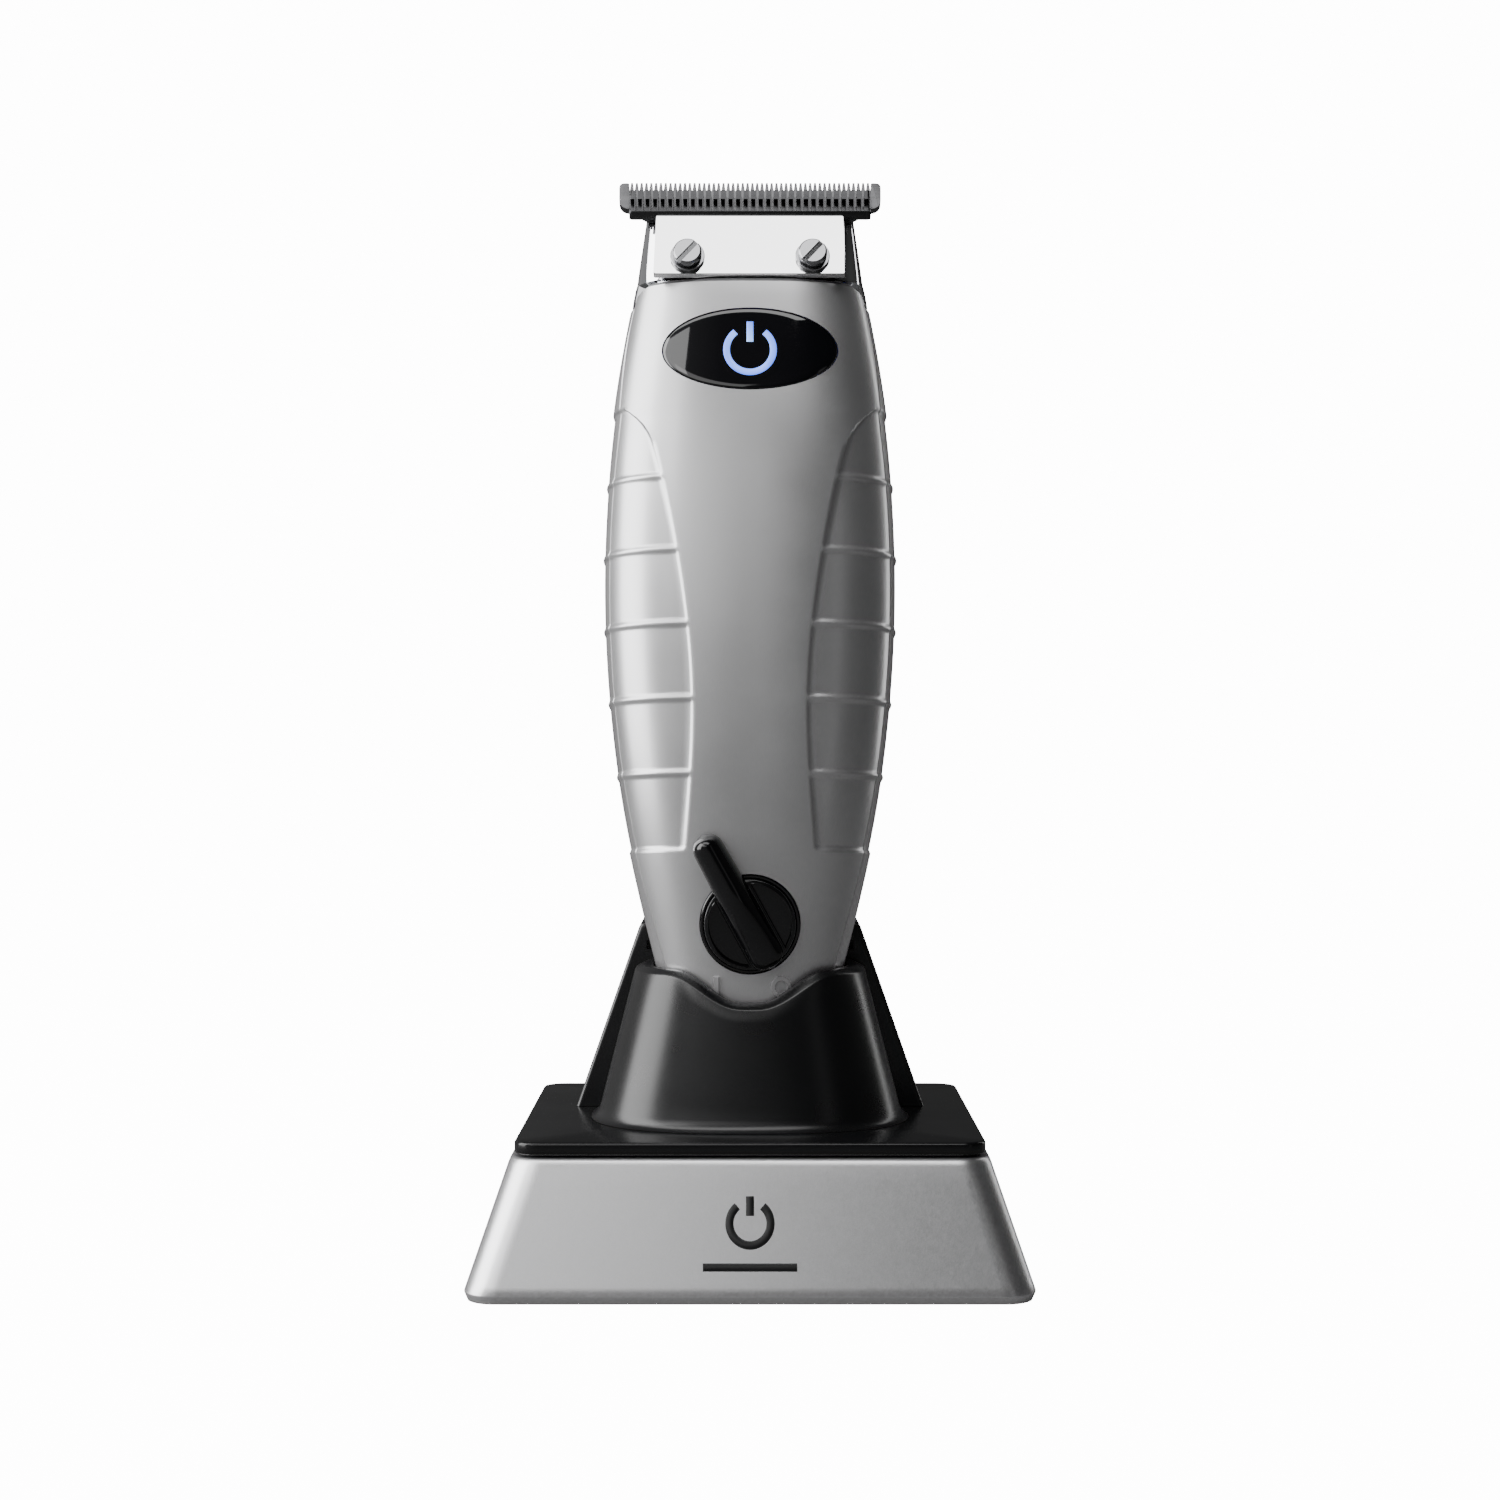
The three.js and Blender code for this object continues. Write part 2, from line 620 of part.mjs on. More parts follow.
function noseBlock() {
  const spigot = loft([
    housingRing(SPIGOT_LOW, SPIGOT_INSET),
    housingRing(FRONT_TOP, SPIGOT_INSET),
    housingRing(FRONT_TOP, SPIGOT_INSET, NOSE_FOOT.height),
  ]);
  const wedge = loft([
    housingRing(REAR_TOP + SEAT_GAP, 0.1),
    housingRing(FRONT_TOP, 0.1),
    noseRing(NOSE_FOOT),
    noseRing(NOSE_TIP),
  ]);
  const frontShellRoom = box([-40, -40, 100], [40, SPLIT_Y + SEAT_GAP, FRONT_TOP + SEAT_GAP]);
  const nose = cut(wedge, frontShellRoom);
  head.updateMatrix();
  const stemPocket = box([-BLADE_STEM.halfWidth - 0.4, -5, -2.2], [BLADE_STEM.halfWidth + 0.4, 3.5, 14]);
  const screwHoles = [-BLADE_SCREW.x, BLADE_SCREW.x].map((x) => (
    lying(SCREW_HOLE, 0, 8.4, x, BLADE_SCREW.height, 12)
  ));
  const barPocket = box([-25, -5, CUTTER.low - 0.4], [25, 3.5, 20]);
  const cutters = [stemPocket, barPocket, ...screwHoles].map((tool) => tool.applyMatrix4(head.matrix));
  const hollow = box([-7.6, -6.6, SPIGOT_LOW - 1], [7.6, 7.4, 126]);
  const yokeWindow = box([-4.2, -12, 120], [4.2, -1.8, 130.2]);
  return cut(join(spigot, nose), ...cutters, hollow, yokeWindow);
}

function bladePlate() {
  const face = [
    [-PLATE.halfWidth - 0.8, PLATE.low],
    [PLATE.halfWidth + 0.8, PLATE.low],
    [PLATE.halfWidth, PLATE.height],
    [-PLATE.halfWidth, PLATE.height],
  ];
  const plate = sheet(face, 0, PLATE.thickness);
  const holes = [-BLADE_SCREW.x, BLADE_SCREW.x].map((x) => lying(SCREW_HOLE, -2, 3, x, BLADE_SCREW.height, 16));
  return cut(plate, ...holes);
}

function bladeScrew(x) {
  const flange = lying(2.5, -1.1, -0.3, x, BLADE_SCREW.height, 24);
  const headDisc = lying(2.2, -2.7, -1, x, BLADE_SCREW.height, 24);
  const shank = lying(SCREW_CORE, -0.6, 8, x, BLADE_SCREW.height, 12);
  const slot = box([-3, -3.2, -0.4], [3, -1.9, 0.4]);
  slot.rotateY(THREE.MathUtils.degToRad(-48)).translate(x, 0, BLADE_SCREW.height);
  return cut(join(flange, headDisc, shank), slot);
}

// tooth tips and gaps along the top edge, from right to left
function toothedEdge(halfWidth, count, root, tip) {
  const edge = [];
  const pitch = (2 * halfWidth) / count;
  for (let tooth = 0; tooth < count; tooth += 1) {
    const right = halfWidth - tooth * pitch;
    const start = right - (pitch * (1 - TOOTH_SHARE)) / 2;
    const end = start - pitch * TOOTH_SHARE;
    edge.push([start, root], [start - pitch * 0.1, tip], [end + pitch * 0.1, tip], [end, root]);
  }
  return edge;
}

function combBlade() {
  const teethHalfWidth = COMB.halfWidth - EAR_WIDTH;
  const shoulder = BLADE_STEM.halfWidth;
  const earLow = COMB.low + 1;
  const outline = [
    [-shoulder, BLADE_STEM.low],
    [shoulder, BLADE_STEM.low],
    [shoulder, COMB.low],
    [COMB.halfWidth - EAR_WIDTH, COMB.low],
    [COMB.halfWidth, earLow],
    [COMB.halfWidth, COMB.tip],
    [COMB.halfWidth - EAR_WIDTH + 0.3, COMB.tip],
    ...toothedEdge(teethHalfWidth, COMB.teeth, COMB.root, COMB.tip - 0.2),
    [-COMB.halfWidth + EAR_WIDTH - 0.3, COMB.tip],
    [-COMB.halfWidth, COMB.tip],
    [-COMB.halfWidth, earLow],
    [-COMB.halfWidth + EAR_WIDTH, COMB.low],
    [-shoulder, COMB.low],
  ];
  const blade = sheet(outline, COMB.front, COMB.front + COMB.thickness);
  const window = box(
    [-BLADE_WINDOW.halfWidth, 0, BLADE_WINDOW.low],
    [BLADE_WINDOW.halfWidth, 6, BLADE_WINDOW.high],
  );
  const holes = [-BLADE_SCREW.x, BLADE_SCREW.x].map((x) => lying(SCREW_HOLE, 0, 6, x, BLADE_SCREW.height, 16));
  return cut(blade, window, ...holes, ...combGrooves(teethHalfWidth));
}

// each gap between comb teeth runs on down the front face as a blind groove
function combGrooves(teethHalfWidth) {
  const grooves = [];
  const pitch = (2 * teethHalfWidth) / COMB.teeth;
  const reach = pitch * (1 - TOOTH_SHARE) * 0.45;
  for (let gap = 1; gap < COMB.teeth; gap += 1) {
    const x = teethHalfWidth - gap * pitch;
    grooves.push(box(
      [x - reach, COMB.front - 1, COMB_GROOVE.low],
      [x + reach, COMB.front + COMB_GROOVE.depth, COMB.root + 0.2],
    ));
  }
  return grooves;
}

function cutterBlade() {
  const outline = [
    [-CUTTER.halfWidth, CUTTER.low],
    [CUTTER.halfWidth, CUTTER.low],
    ...toothedEdge(CUTTER.halfWidth, CUTTER.teeth, CUTTER.root, CUTTER.tip),
  ];
  const bar = sheet(outline, CUTTER.front, CUTTER.back);
  const tail = box([-5, PLATE.thickness + 0.3, BLADE_WINDOW.low], [5, CUTTER.back, CUTTER.low + 0.5]);
  return join(bar, tail);
}

// ---------- battery and electronics ----------
function batteryHolder() {
  const inner = CELL.radius + 0.3;
  const ring = upright(inner + 1.2, CELL.low + 4, CELL.high - 4, 0, CELL.y, 28);
  const room = upright(inner, 0, 100, 0, CELL.y, 28);
  const frontHalf = box([-20, -20, 0], [20, CELL.y + 1, 100]);
  return cut(ring, room, frontHalf);
}

function lightGuide() {
  return box([-6, -10.9, 107.4], [6, -8.6, 114]);
}

// ---------- assembly ----------
const shell = housingShell();
add(object, 'plinth_shell', plinthShell(), plinthMetal);
add(object, 'deck_plate', deckPlate(), blackGloss);
add(object, 'cradle', cradle(), blackSatin);
add(object, 'base_plate', basePlate(), blackSatin);
add(object, 'non_slip_pad', roundedPlate(71, 65.5, 3, 0, PAD_HEIGHT), rubber);
baseScrewPlaces.forEach(([x, y], i) => add(object, `base_screw_${i + 1}`, baseScrew(x, y), plainSteel));
add(object, 'ballast_weight', box([-22, -26, 3.8], [22, 2, 10.8]), plainSteel);
add(object, 'stand_board', box([-16, -12, 12], [16, 20, 13.2]), boardGreen);
add(object, 'power_inlet', inletSocket(), blackSatin);
add(object, 'contact_block', contactBlock(), blackSatin);
PINS.forEach(([side, x]) => {
  add(object, `contact_pin_${side}`, contactPin(x), brass);
  add(object, `contact_spring_${side}`, contactSpring(x), plainSteel);
});

add(trimmer, 'front_housing', frontHousing(shell), silverPaint);
add(trimmer, 'rear_housing', rearHousing(shell), silverPaint);
HOUSING_SCREWS.forEach(([place, x, z]) => add(trimmer, `housing_screw_${place}`, housingScrew(x, z), plainSteel));
add(trimmer, 'indicator_lens', lens(), blackGloss);
add(trimmer, 'light_guide', lightGuide(), lightGuideClear);
add(trimmer, 'end_cap', endCap(), blackSatin);
PINS.forEach(([side, x]) => add(trimmer, `charge_contact_${side}`, upright(1.4, 0.35, 4.5, x, 0, 16), brass));
add(switchFace, 'switch_bezel', switchBezel(), blackSatin);
add(switchFace, 'switch_knob', switchKnob(), blackGloss);
add(switchFace, 'switch_shaft', switchShaft(), whitePlastic);
add(switchFace, 'switch_body', switchBody(), whitePlastic);
add(trimmer, 'battery_cell', upright(CELL.radius, CELL.low, CELL.high, 0, CELL.y, 28), cellBlue);
add(trimmer, 'battery_holder', batteryHolder(), whitePlastic);
add(trimmer, 'main_board', box([-9, -9.4, 35], [9, -8.2, 78]), boardGreen);
add(trimmer, 'motor', motorCan(), plainSteel);
add(trimmer, 'motor_bracket', motorBracket(), whitePlastic);
add(trimmer, 'motor_shaft', motorShaft(), plainSteel);
add(trimmer, 'eccentric_cam', eccentricCam(), brass);
add(trimmer, 'drive_yoke', driveYoke(), whitePlastic);
add(trimmer, 'nose_block', noseBlock(), chrome);
add(head, 'blade_plate', bladePlate(), chrome);
add(head, 'blade_screw_left', bladeScrew(-BLADE_SCREW.x), plainSteel);
add(head, 'blade_screw_right', bladeScrew(BLADE_SCREW.x), plainSteel);
add(head, 'comb_blade', combBlade(), bladeSteel);
add(head, 'cutter_blade', cutterBlade(), bladeSteel);

export default object;
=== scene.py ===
"""A cordless T-blade trimmer leaning in its charging stand: the looks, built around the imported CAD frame.

Lengths in this file are millimetres, and a mesh turns them into metres as it is made.
The trimmer's pieces are built upright in its own frame, then leaned back into the stand:
there +Z runs from the charging end to the blade, and the front faces -Y.
"""
import json
import math

import bmesh
import bpy
import numpy as np
from mathutils import Matrix, Vector


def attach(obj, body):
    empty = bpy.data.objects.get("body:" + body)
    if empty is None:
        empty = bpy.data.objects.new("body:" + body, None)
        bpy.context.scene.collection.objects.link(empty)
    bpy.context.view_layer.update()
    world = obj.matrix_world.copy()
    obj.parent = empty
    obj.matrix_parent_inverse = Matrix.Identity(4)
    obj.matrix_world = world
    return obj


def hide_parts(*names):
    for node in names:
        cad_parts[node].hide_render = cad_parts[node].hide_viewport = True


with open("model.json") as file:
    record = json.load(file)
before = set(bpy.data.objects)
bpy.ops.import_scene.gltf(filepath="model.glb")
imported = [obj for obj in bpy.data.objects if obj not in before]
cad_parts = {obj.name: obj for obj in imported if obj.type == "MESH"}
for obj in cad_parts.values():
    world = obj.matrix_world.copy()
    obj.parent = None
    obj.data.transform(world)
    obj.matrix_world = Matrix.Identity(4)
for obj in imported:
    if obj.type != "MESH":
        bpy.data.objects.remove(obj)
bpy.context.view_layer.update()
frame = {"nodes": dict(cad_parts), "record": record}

MM = 0.001

# ---------- frames shared with the CAD model ----------
LEAN = Matrix.Translation((0, -5.7, 26)) @ Matrix.Rotation(math.radians(-5), 4, "X")
HEAD = LEAN @ Matrix.Translation((0, -11.5, 124)) @ Matrix.Rotation(math.radians(-17), 4, "X")
SWITCH = LEAN @ Matrix.Translation((0, -13.4, 25)) @ Matrix.Rotation(math.radians(9), 4, "X")
WORLD = Matrix.Identity(4)

# ---------- the housing's form ----------
HOUSING_TOP = 123.8
FRONT_TOP = 121.9
REAR_TOP = 119
WALL = 2.2
SPLIT_Y = -8
POWER = 2.8
FOOT_ROUNDING = 1.2
END_CAP_RADIUS = 6
# height, half width, depth in front of the axis, depth behind it
STATIONS = [
    (0, 9.5, 9.5, 9.5),
    (18, 14, 12.2, 12.6),
    (41, 19.3, 15.6, 16),
    (59, 21.7, 16.6, 17.6),
    (77.5, 22.5, 16.6, 18),
    (90, 22.1, 16, 17.6),
    (108.4, 20.2, 14, 16),
    (HOUSING_TOP, 17.4, 11.5, 13.5),
]
GRIP_LOW = 36.1
GRIP_HIGH = 102.4
GRIP_RECESS = 0.36
RIB_HEIGHTS = [47.2 + 11.05 * i for i in range(5)]
RIB_HALF_HEIGHT = 0.75
RIB_PROUD = -0.1
# rows of points across a rib, counted in its half heights
RIB_ROWS = (-1.3, -1, -0.7, -0.4, -0.13, 0.13, 0.4, 0.7, 1, 1.3)
# height and distance from the middle of the grip's inner edge
GRIP_EDGE = [
    (GRIP_LOW, 9.8),
    (47.2, 8.9),
    (59.2, 8.6),
    (68.3, 9.2),
    (80.3, 10.9),
    (95.4, 14.3),
    (100.1, 16.6),
    (GRIP_HIGH, 19),
]


def natural_spline(points):
    """The smooth curve through (x, y) points, as a function of x."""
    xs, ys = (np.array(column, float) for column in zip(*points))
    count = len(xs)
    gaps = np.diff(xs)
    matrix = np.eye(count)
    right = np.zeros(count)
    for i in range(1, count - 1):
        matrix[i, i - 1 : i + 2] = gaps[i - 1], 2 * (gaps[i - 1] + gaps[i]), gaps[i]
        right[i] = 6 * ((ys[i + 1] - ys[i]) / gaps[i] - (ys[i] - ys[i - 1]) / gaps[i - 1])
    bends = np.linalg.solve(matrix, right)

    def value(x):
        i = min(max(int(np.searchsorted(xs, x)) - 1, 0), count - 2)
        after, before, gap = xs[i + 1] - x, x - xs[i], gaps[i]
        curved = (bends[i] * after**3 + bends[i + 1] * before**3) / (6 * gap)
        from_left = (ys[i] / gap - bends[i] * gap / 6) * after
        from_right = (ys[i + 1] / gap - bends[i + 1] * gap / 6) * before
        return curved + (from_left + from_right)

    return value


half_width = natural_spline([(t, w) for t, w, _, _ in STATIONS])
front_depth = natural_spline([(t, f) for t, _, f, _ in STATIONS])
rear_depth = natural_spline([(t, r) for t, _, _, r in STATIONS])
grip_edge = natural_spline(GRIP_EDGE)


def section_point(t, angle, inset=0.0):
    """A point of the housing's section, from its front middle (angle 0) round to its rear middle (pi)."""
    width = half_width(t) - inset
    depth = (front_depth(t) if angle < math.pi / 2 else rear_depth(t)) - inset
    across, along = math.sin(angle), math.cos(angle)
    x = width * abs(across) ** (2 / POWER)
    y = -depth * math.copysign(abs(along) ** (2 / POWER), along)
    return x, y


def section_normal(t, x, y):
    width = half_width(t)
    depth = front_depth(t) if y < 0 else rear_depth(t)
    nx = math.copysign((abs(x) / width) ** (POWER - 1) / width, x)
    ny = math.copysign((abs(y) / depth) ** (POWER - 1) / depth, y)
    length = math.hypot(nx, ny)
    return nx / length, ny / length


def front_y(x, t):
    """Where the housing's front face is, at a point seen from the front."""
    share = min(abs(x) / half_width(t), 1.0)
    return -front_depth(t) * (1 - share**POWER) ** (1 / POWER)


def smoothstep(low, high, value):
    share = min(max((value - low) / (high - low), 0.0), 1.0)
    return share * share * (3 - 2 * share)


# ---------- mesh helpers ----------
def shade_edges(bm, degrees):
    """Smooth faces, with every edge that turns by more than some degrees left sharp."""
    for face in bm.faces:
        face.smooth = True
    for edge in bm.edges:
        sharp = len(edge.link_faces) == 2 and edge.calc_face_angle(0) > math.radians(degrees)
        edge.smooth = not sharp


def finish_mesh(bm, name, frame_matrix=WORLD, sharp_degrees=35):
    """The bmesh as a mesh in metres, with its faces pointing out and its sharp edges marked."""
    bmesh.ops.remove_doubles(bm, verts=bm.verts, dist=1e-5)
    bmesh.ops.recalc_face_normals(bm, faces=bm.faces)
    bm.transform(Matrix.Scale(MM, 4) @ frame_matrix)
    shade_edges(bm, sharp_degrees)
    mesh = bpy.data.meshes.new(name)
    bm.to_mesh(mesh)
    bm.free()
    return mesh


def add_rings(bm, rings, close_low=True, close_high=True):
    """Closed rings of points joined in a stack, with its ends filled in or left open."""
    rows = [[bm.verts.new(point) for point in ring] for ring in rings]
    count = len(rows[0])
    for low, high in zip(rows, rows[1:]):
        for i in range(count):
            j = (i + 1) % count
            bm.faces.new((low[i], low[j], high[j], high[i]))
    if close_low:
        add_fan(bm, rows[0])
    if close_high:
        add_fan(bm, rows[-1])
    return rows


def close_loop(bm, rows):
    """Faces from the last ring back to the first, which turn an open stack into a closed body."""
    for i in range(len(rows[0])):
        j = (i + 1) % len(rows[0])
        bm.faces.new((rows[-1][i], rows[-1][j], rows[0][j], rows[0][i]))


def add_fan(bm, row):
    middle = sum((vert.co for vert in row), Vector()) / len(row)
    hub = bm.verts.new(middle)
    for i, vert in enumerate(row):
        bm.faces.new((vert, row[(i + 1) % len(row)], hub))


def loft(name, rings, frame_matrix=WORLD, sharp_degrees=35):
    bm = bmesh.new()
    add_rings(bm, rings)
    return finish_mesh(bm, name, frame_matrix, sharp_degrees)


def lathe_rings(profile, steps=64, centre=(0, 0, 0), axis="Z"):
    """Rings round an axis for (radius, height) points. Along Y, the height counts towards +Y."""
    rings = []
    for radius, height in profile:
        ring = []
        for i in range(steps):
            angle = 2 * math.pi * i / steps
            across, along = radius * math.cos(angle), radius * math.sin(angle)
            point = (across, along, height) if axis == "Z" else (across, height, along)
            ring.append(Vector(point) + Vector(centre))
        rings.append(ring)
    return rings


def rounded_polygon(corners, radii, steps=5):
    """A flat outline with each corner replaced by a small curve."""
    outline = []
    count = len(corners)
    for i, corner in enumerate(corners):
        here = Vector(corner)
        radius = radii[i] if isinstance(radii, (list, tuple)) else radii
        back = (Vector(corners[i - 1]) - here).normalized() * radius
        ahead = (Vector(corners[(i + 1) % count]) - here).normalized() * radius
        for step in range(steps + 1):
            share = step / steps
            outline.append(here + back * (1 - share) ** 2 + ahead * share**2)
    return outline


def rounded_rectangle(width, depth, corner, steps=8, centre_y=0.0):
    outline = []
    for quarter, (sx, sy) in enumerate([(1, 1), (-1, 1), (-1, -1), (1, -1)]):
        for step in range(steps + 1):
            angle = (quarter + step / steps) * math.pi / 2
            x = sx * (width / 2 - corner) + corner * math.cos(angle)
            y = centre_y + sy * (depth / 2 - corner) + corner * math.sin(angle)
            outline.append((x, y))
    return outline


def lift(outline, z):
    return [Vector((x, y, z)) for x, y in outline]


def rounded_slab_rings(width, depth, corner, low, high, edge):
    """A plate with a rounded outline and softly rounded rims."""
    rings = []
    for z_edge, direction in ((low, 1), (high, -1)):
        steps = range(5) if direction == 1 else range(4, -1, -1)
        for step in steps:
            angle = step / 4 * math.pi / 2
            inset = edge * (1 - math.sin(angle))
            rise = edge * (1 - math.cos(angle))
            outline = rounded_rectangle(width - 2 * inset, depth - 2 * inset, max(corner - inset, 0.2))
            rings.append(lift(outline, z_edge + direction * rise))
    return rings


def prism(name, outline, front, back, frame_matrix, edge=0.0):
    """A flat outline of (x, z) points thickened along Y, with its rims bevelled."""
    bm = bmesh.new()
    rows = [[bm.verts.new((x, y, z)) for x, z in outline] for y in (front, back)]
    count = len(outline)
    for i in range(count):
        j = (i + 1) % count
        bm.faces.new((rows[0][i], rows[0][j], rows[1][j], rows[1][i]))
    bm.faces.new(rows[0])
    bm.faces.new(rows[1][::-1])
    bmesh.ops.recalc_face_normals(bm, faces=bm.faces)
    if edge:
        rims = [e for e in bm.edges if e.calc_face_angle(0) > math.radians(50)]
        bmesh.ops.bevel(
            bm, geom=rims, offset=edge, segments=2, profile=0.7, affect="EDGES", clamp_overlap=True
        )
    return finish_mesh(bm, name, frame_matrix)


def carve(mesh, cutters):
    """The mesh with other meshes cut out of it. The cutters are used up."""
    target = bpy.data.objects.new("carved", mesh)
    bpy.context.scene.collection.objects.link(target)
    tools = []
    for cutter in cutters:
        tool = bpy.data.objects.new("cutter", cutter)
        bpy.context.scene.collection.objects.link(tool)
        modifier = target.modifiers.new("cut", "BOOLEAN")
        modifier.operation = "DIFFERENCE"
        modifier.solver = "EXACT"
        modifier.object = tool
        tools.append(tool)
    bpy.context.view_layer.update()
    result = bpy.data.meshes.new_from_object(target.evaluated_get(bpy.context.evaluated_depsgraph_get()))
    result.name = mesh.name
    for spare in [target, *tools]:
        spare_mesh = spare.data
        bpy.data.objects.remove(spare)
        bpy.data.meshes.remove(spare_mesh)
    mark_sharp(result)
    return result


def mark_sharp(mesh, degrees=35):
    bm = bmesh.new()
    bm.from_mesh(mesh)
    shade_edges(bm, degrees)
    bm.to_mesh(mesh)
    bm.free()


def joined(name, meshes):
    """Several closed meshes as one piece."""
    bm = bmesh.new()
    for mesh in meshes:
        bm.from_mesh(mesh)
        bpy.data.meshes.remove(mesh)
    mesh = bpy.data.meshes.new(name)
    bm.to_mesh(mesh)
    bm.free()
    return mesh


def box_mesh(low, high, frame_matrix=WORLD):
    bm = bmesh.new()
    bmesh.ops.create_cube(bm, size=1)
    size = [b - a for a, b in zip(low, high)]
    middle = [(a + b) / 2 for a, b in zip(low, high)]
    bm.transform(Matrix.Translation(middle) @ Matrix.Diagonal((*size, 1)))
    return finish_mesh(bm, "box", frame_matrix)


def rod_mesh(radius, front, back, frame_matrix, steps=64, centre=(0, 0, 0)):
    """A plain rod along Y."""
    rings = lathe_rings([(radius, front), (radius, back)], steps, centre, "Y")
    return loft("rod", rings, frame_matrix)


def add_piece(name, mesh, body, slot, replaces=()):
    piece = bpy.data.objects.new(name, mesh)
    bpy.context.scene.collection.objects.link(piece)
    mesh.materials.clear()
    mesh.materials.append(MATERIALS[slot])
    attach(piece, body)
    if replaces:
        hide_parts(*replaces)
    return piece


# ---------- materials ----------
def new_material(name):
    material = bpy.data.materials.new(name)
    material.use_nodes = True
    nodes = material.node_tree.nodes
    return material, nodes, material.node_tree.links, nodes["Principled BSDF"]


def add_noise(nodes, links, scale, detail=3.0, stretch=(1, 1, 1)):
    """Noise in the piece's own metres. stretch pulls it into streaks."""
    place = nodes.new("ShaderNodeTexCoord")
    mapping = nodes.new("ShaderNodeMapping")
    mapping.inputs["Scale"].default_value = stretch
    noise = nodes.new("ShaderNodeTexNoise")
    noise.inputs["Scale"].default_value = scale
    noise.inputs["Detail"].default_value = detail
    links.new(place.outputs["Object"], mapping.inputs["Vector"])
    links.new(mapping.outputs["Vector"], noise.inputs["Vector"])
    return noise.outputs["Fac"]


def spread(nodes, links, source, low, high):
    ramp = nodes.new("ShaderNodeMapRange")
    ramp.inputs["From Min"].default_value = 0.3
    ramp.inputs["From Max"].default_value = 0.7
    ramp.inputs["To Min"].default_value = low
    ramp.inputs["To Max"].default_value = high
    links.new(source, ramp.inputs["Value"])
    return ramp.outputs["Result"]


def surface(
    name, color, gloss, drift, grain, metallic=0.0, stretch=(1, 1, 1), coat=0.0, coat_roughness=0.03, ior=1.5
):
    """A finish with its own colour drift, uneven gloss and grain. The grain can be pulled into streaks."""
    roughness, rough_spread = gloss
    shade, patch_scale = drift
    grain_strength, grain_scale, grain_depth_m = grain
    material, nodes, links, shader = new_material(name)
    shader.inputs["Metallic"].default_value = metallic
    shader.inputs["IOR"].default_value = ior
    shader.inputs["Coat Weight"].default_value = coat
    shader.inputs["Coat Roughness"].default_value = coat_roughness
    patches = add_noise(nodes, links, patch_scale, 4, stretch)
    tint = nodes.new("ShaderNodeMix")
    tint.data_type = "RGBA"
    tint.inputs["A"].default_value = [c * (1 - shade) for c in color] + [1]
    tint.inputs["B"].default_value = [min(c * (1 + shade), 1) for c in color] + [1]
    links.new(patches, tint.inputs["Factor"])
    links.new(tint.outputs["Result"], shader.inputs["Base Color"])
    links.new(
        spread(nodes, links, patches, max(roughness - rough_spread, 0.01), roughness + rough_spread),
        shader.inputs["Roughness"],
    )
    fine = add_noise(nodes, links, grain_scale, 2, stretch)
    bump = nodes.new("ShaderNodeBump")
    bump.inputs["Strength"].default_value = grain_strength
    bump.inputs["Distance"].default_value = grain_depth_m
    links.new(fine, bump.inputs["Height"])
    links.new(bump.outputs["Normal"], shader.inputs["Normal"])
    return material


def lit_surface(name, middle_m, reach_m, bright, deep, strength):
    """A lit marking: pale in its middle, deeper blue towards its rim."""
    material, nodes, links, shader = new_material(name)
    place = nodes.new("ShaderNodeTexCoord")
    offset = nodes.new("ShaderNodeVectorMath")
    offset.operation = "DISTANCE"
    offset.inputs[1].default_value = middle_m
    links.new(place.outputs["Object"], offset.inputs[0])
    reach = nodes.new("ShaderNodeMapRange")
    reach.inputs["From Max"].default_value = reach_m
    links.new(offset.outputs["Value"], reach.inputs["Value"])
    mix = nodes.new("ShaderNodeMix")
    mix.data_type = "RGBA"
    mix.inputs["A"].default_value = (*bright, 1)
    mix.inputs["B"].default_value = (*deep, 1)
    links.new(reach.outputs["Result"], mix.inputs["Factor"])
    links.new(mix.outputs["Result"], shader.inputs["Base Color"])
    links.new(mix.outputs["Result"], shader.inputs["Emission Color"])
    shader.inputs["Emission Strength"].default_value = strength
    shader.inputs["Roughness"].default_value = 0.2
    return material


ICON_HEIGHT = 110.7
icon_middle_m = LEAN @ Vector((0, front_y(0, ICON_HEIGHT), ICON_HEIGHT)) * MM
BRUSHED_ACROSS = (0.04, 1, 1)
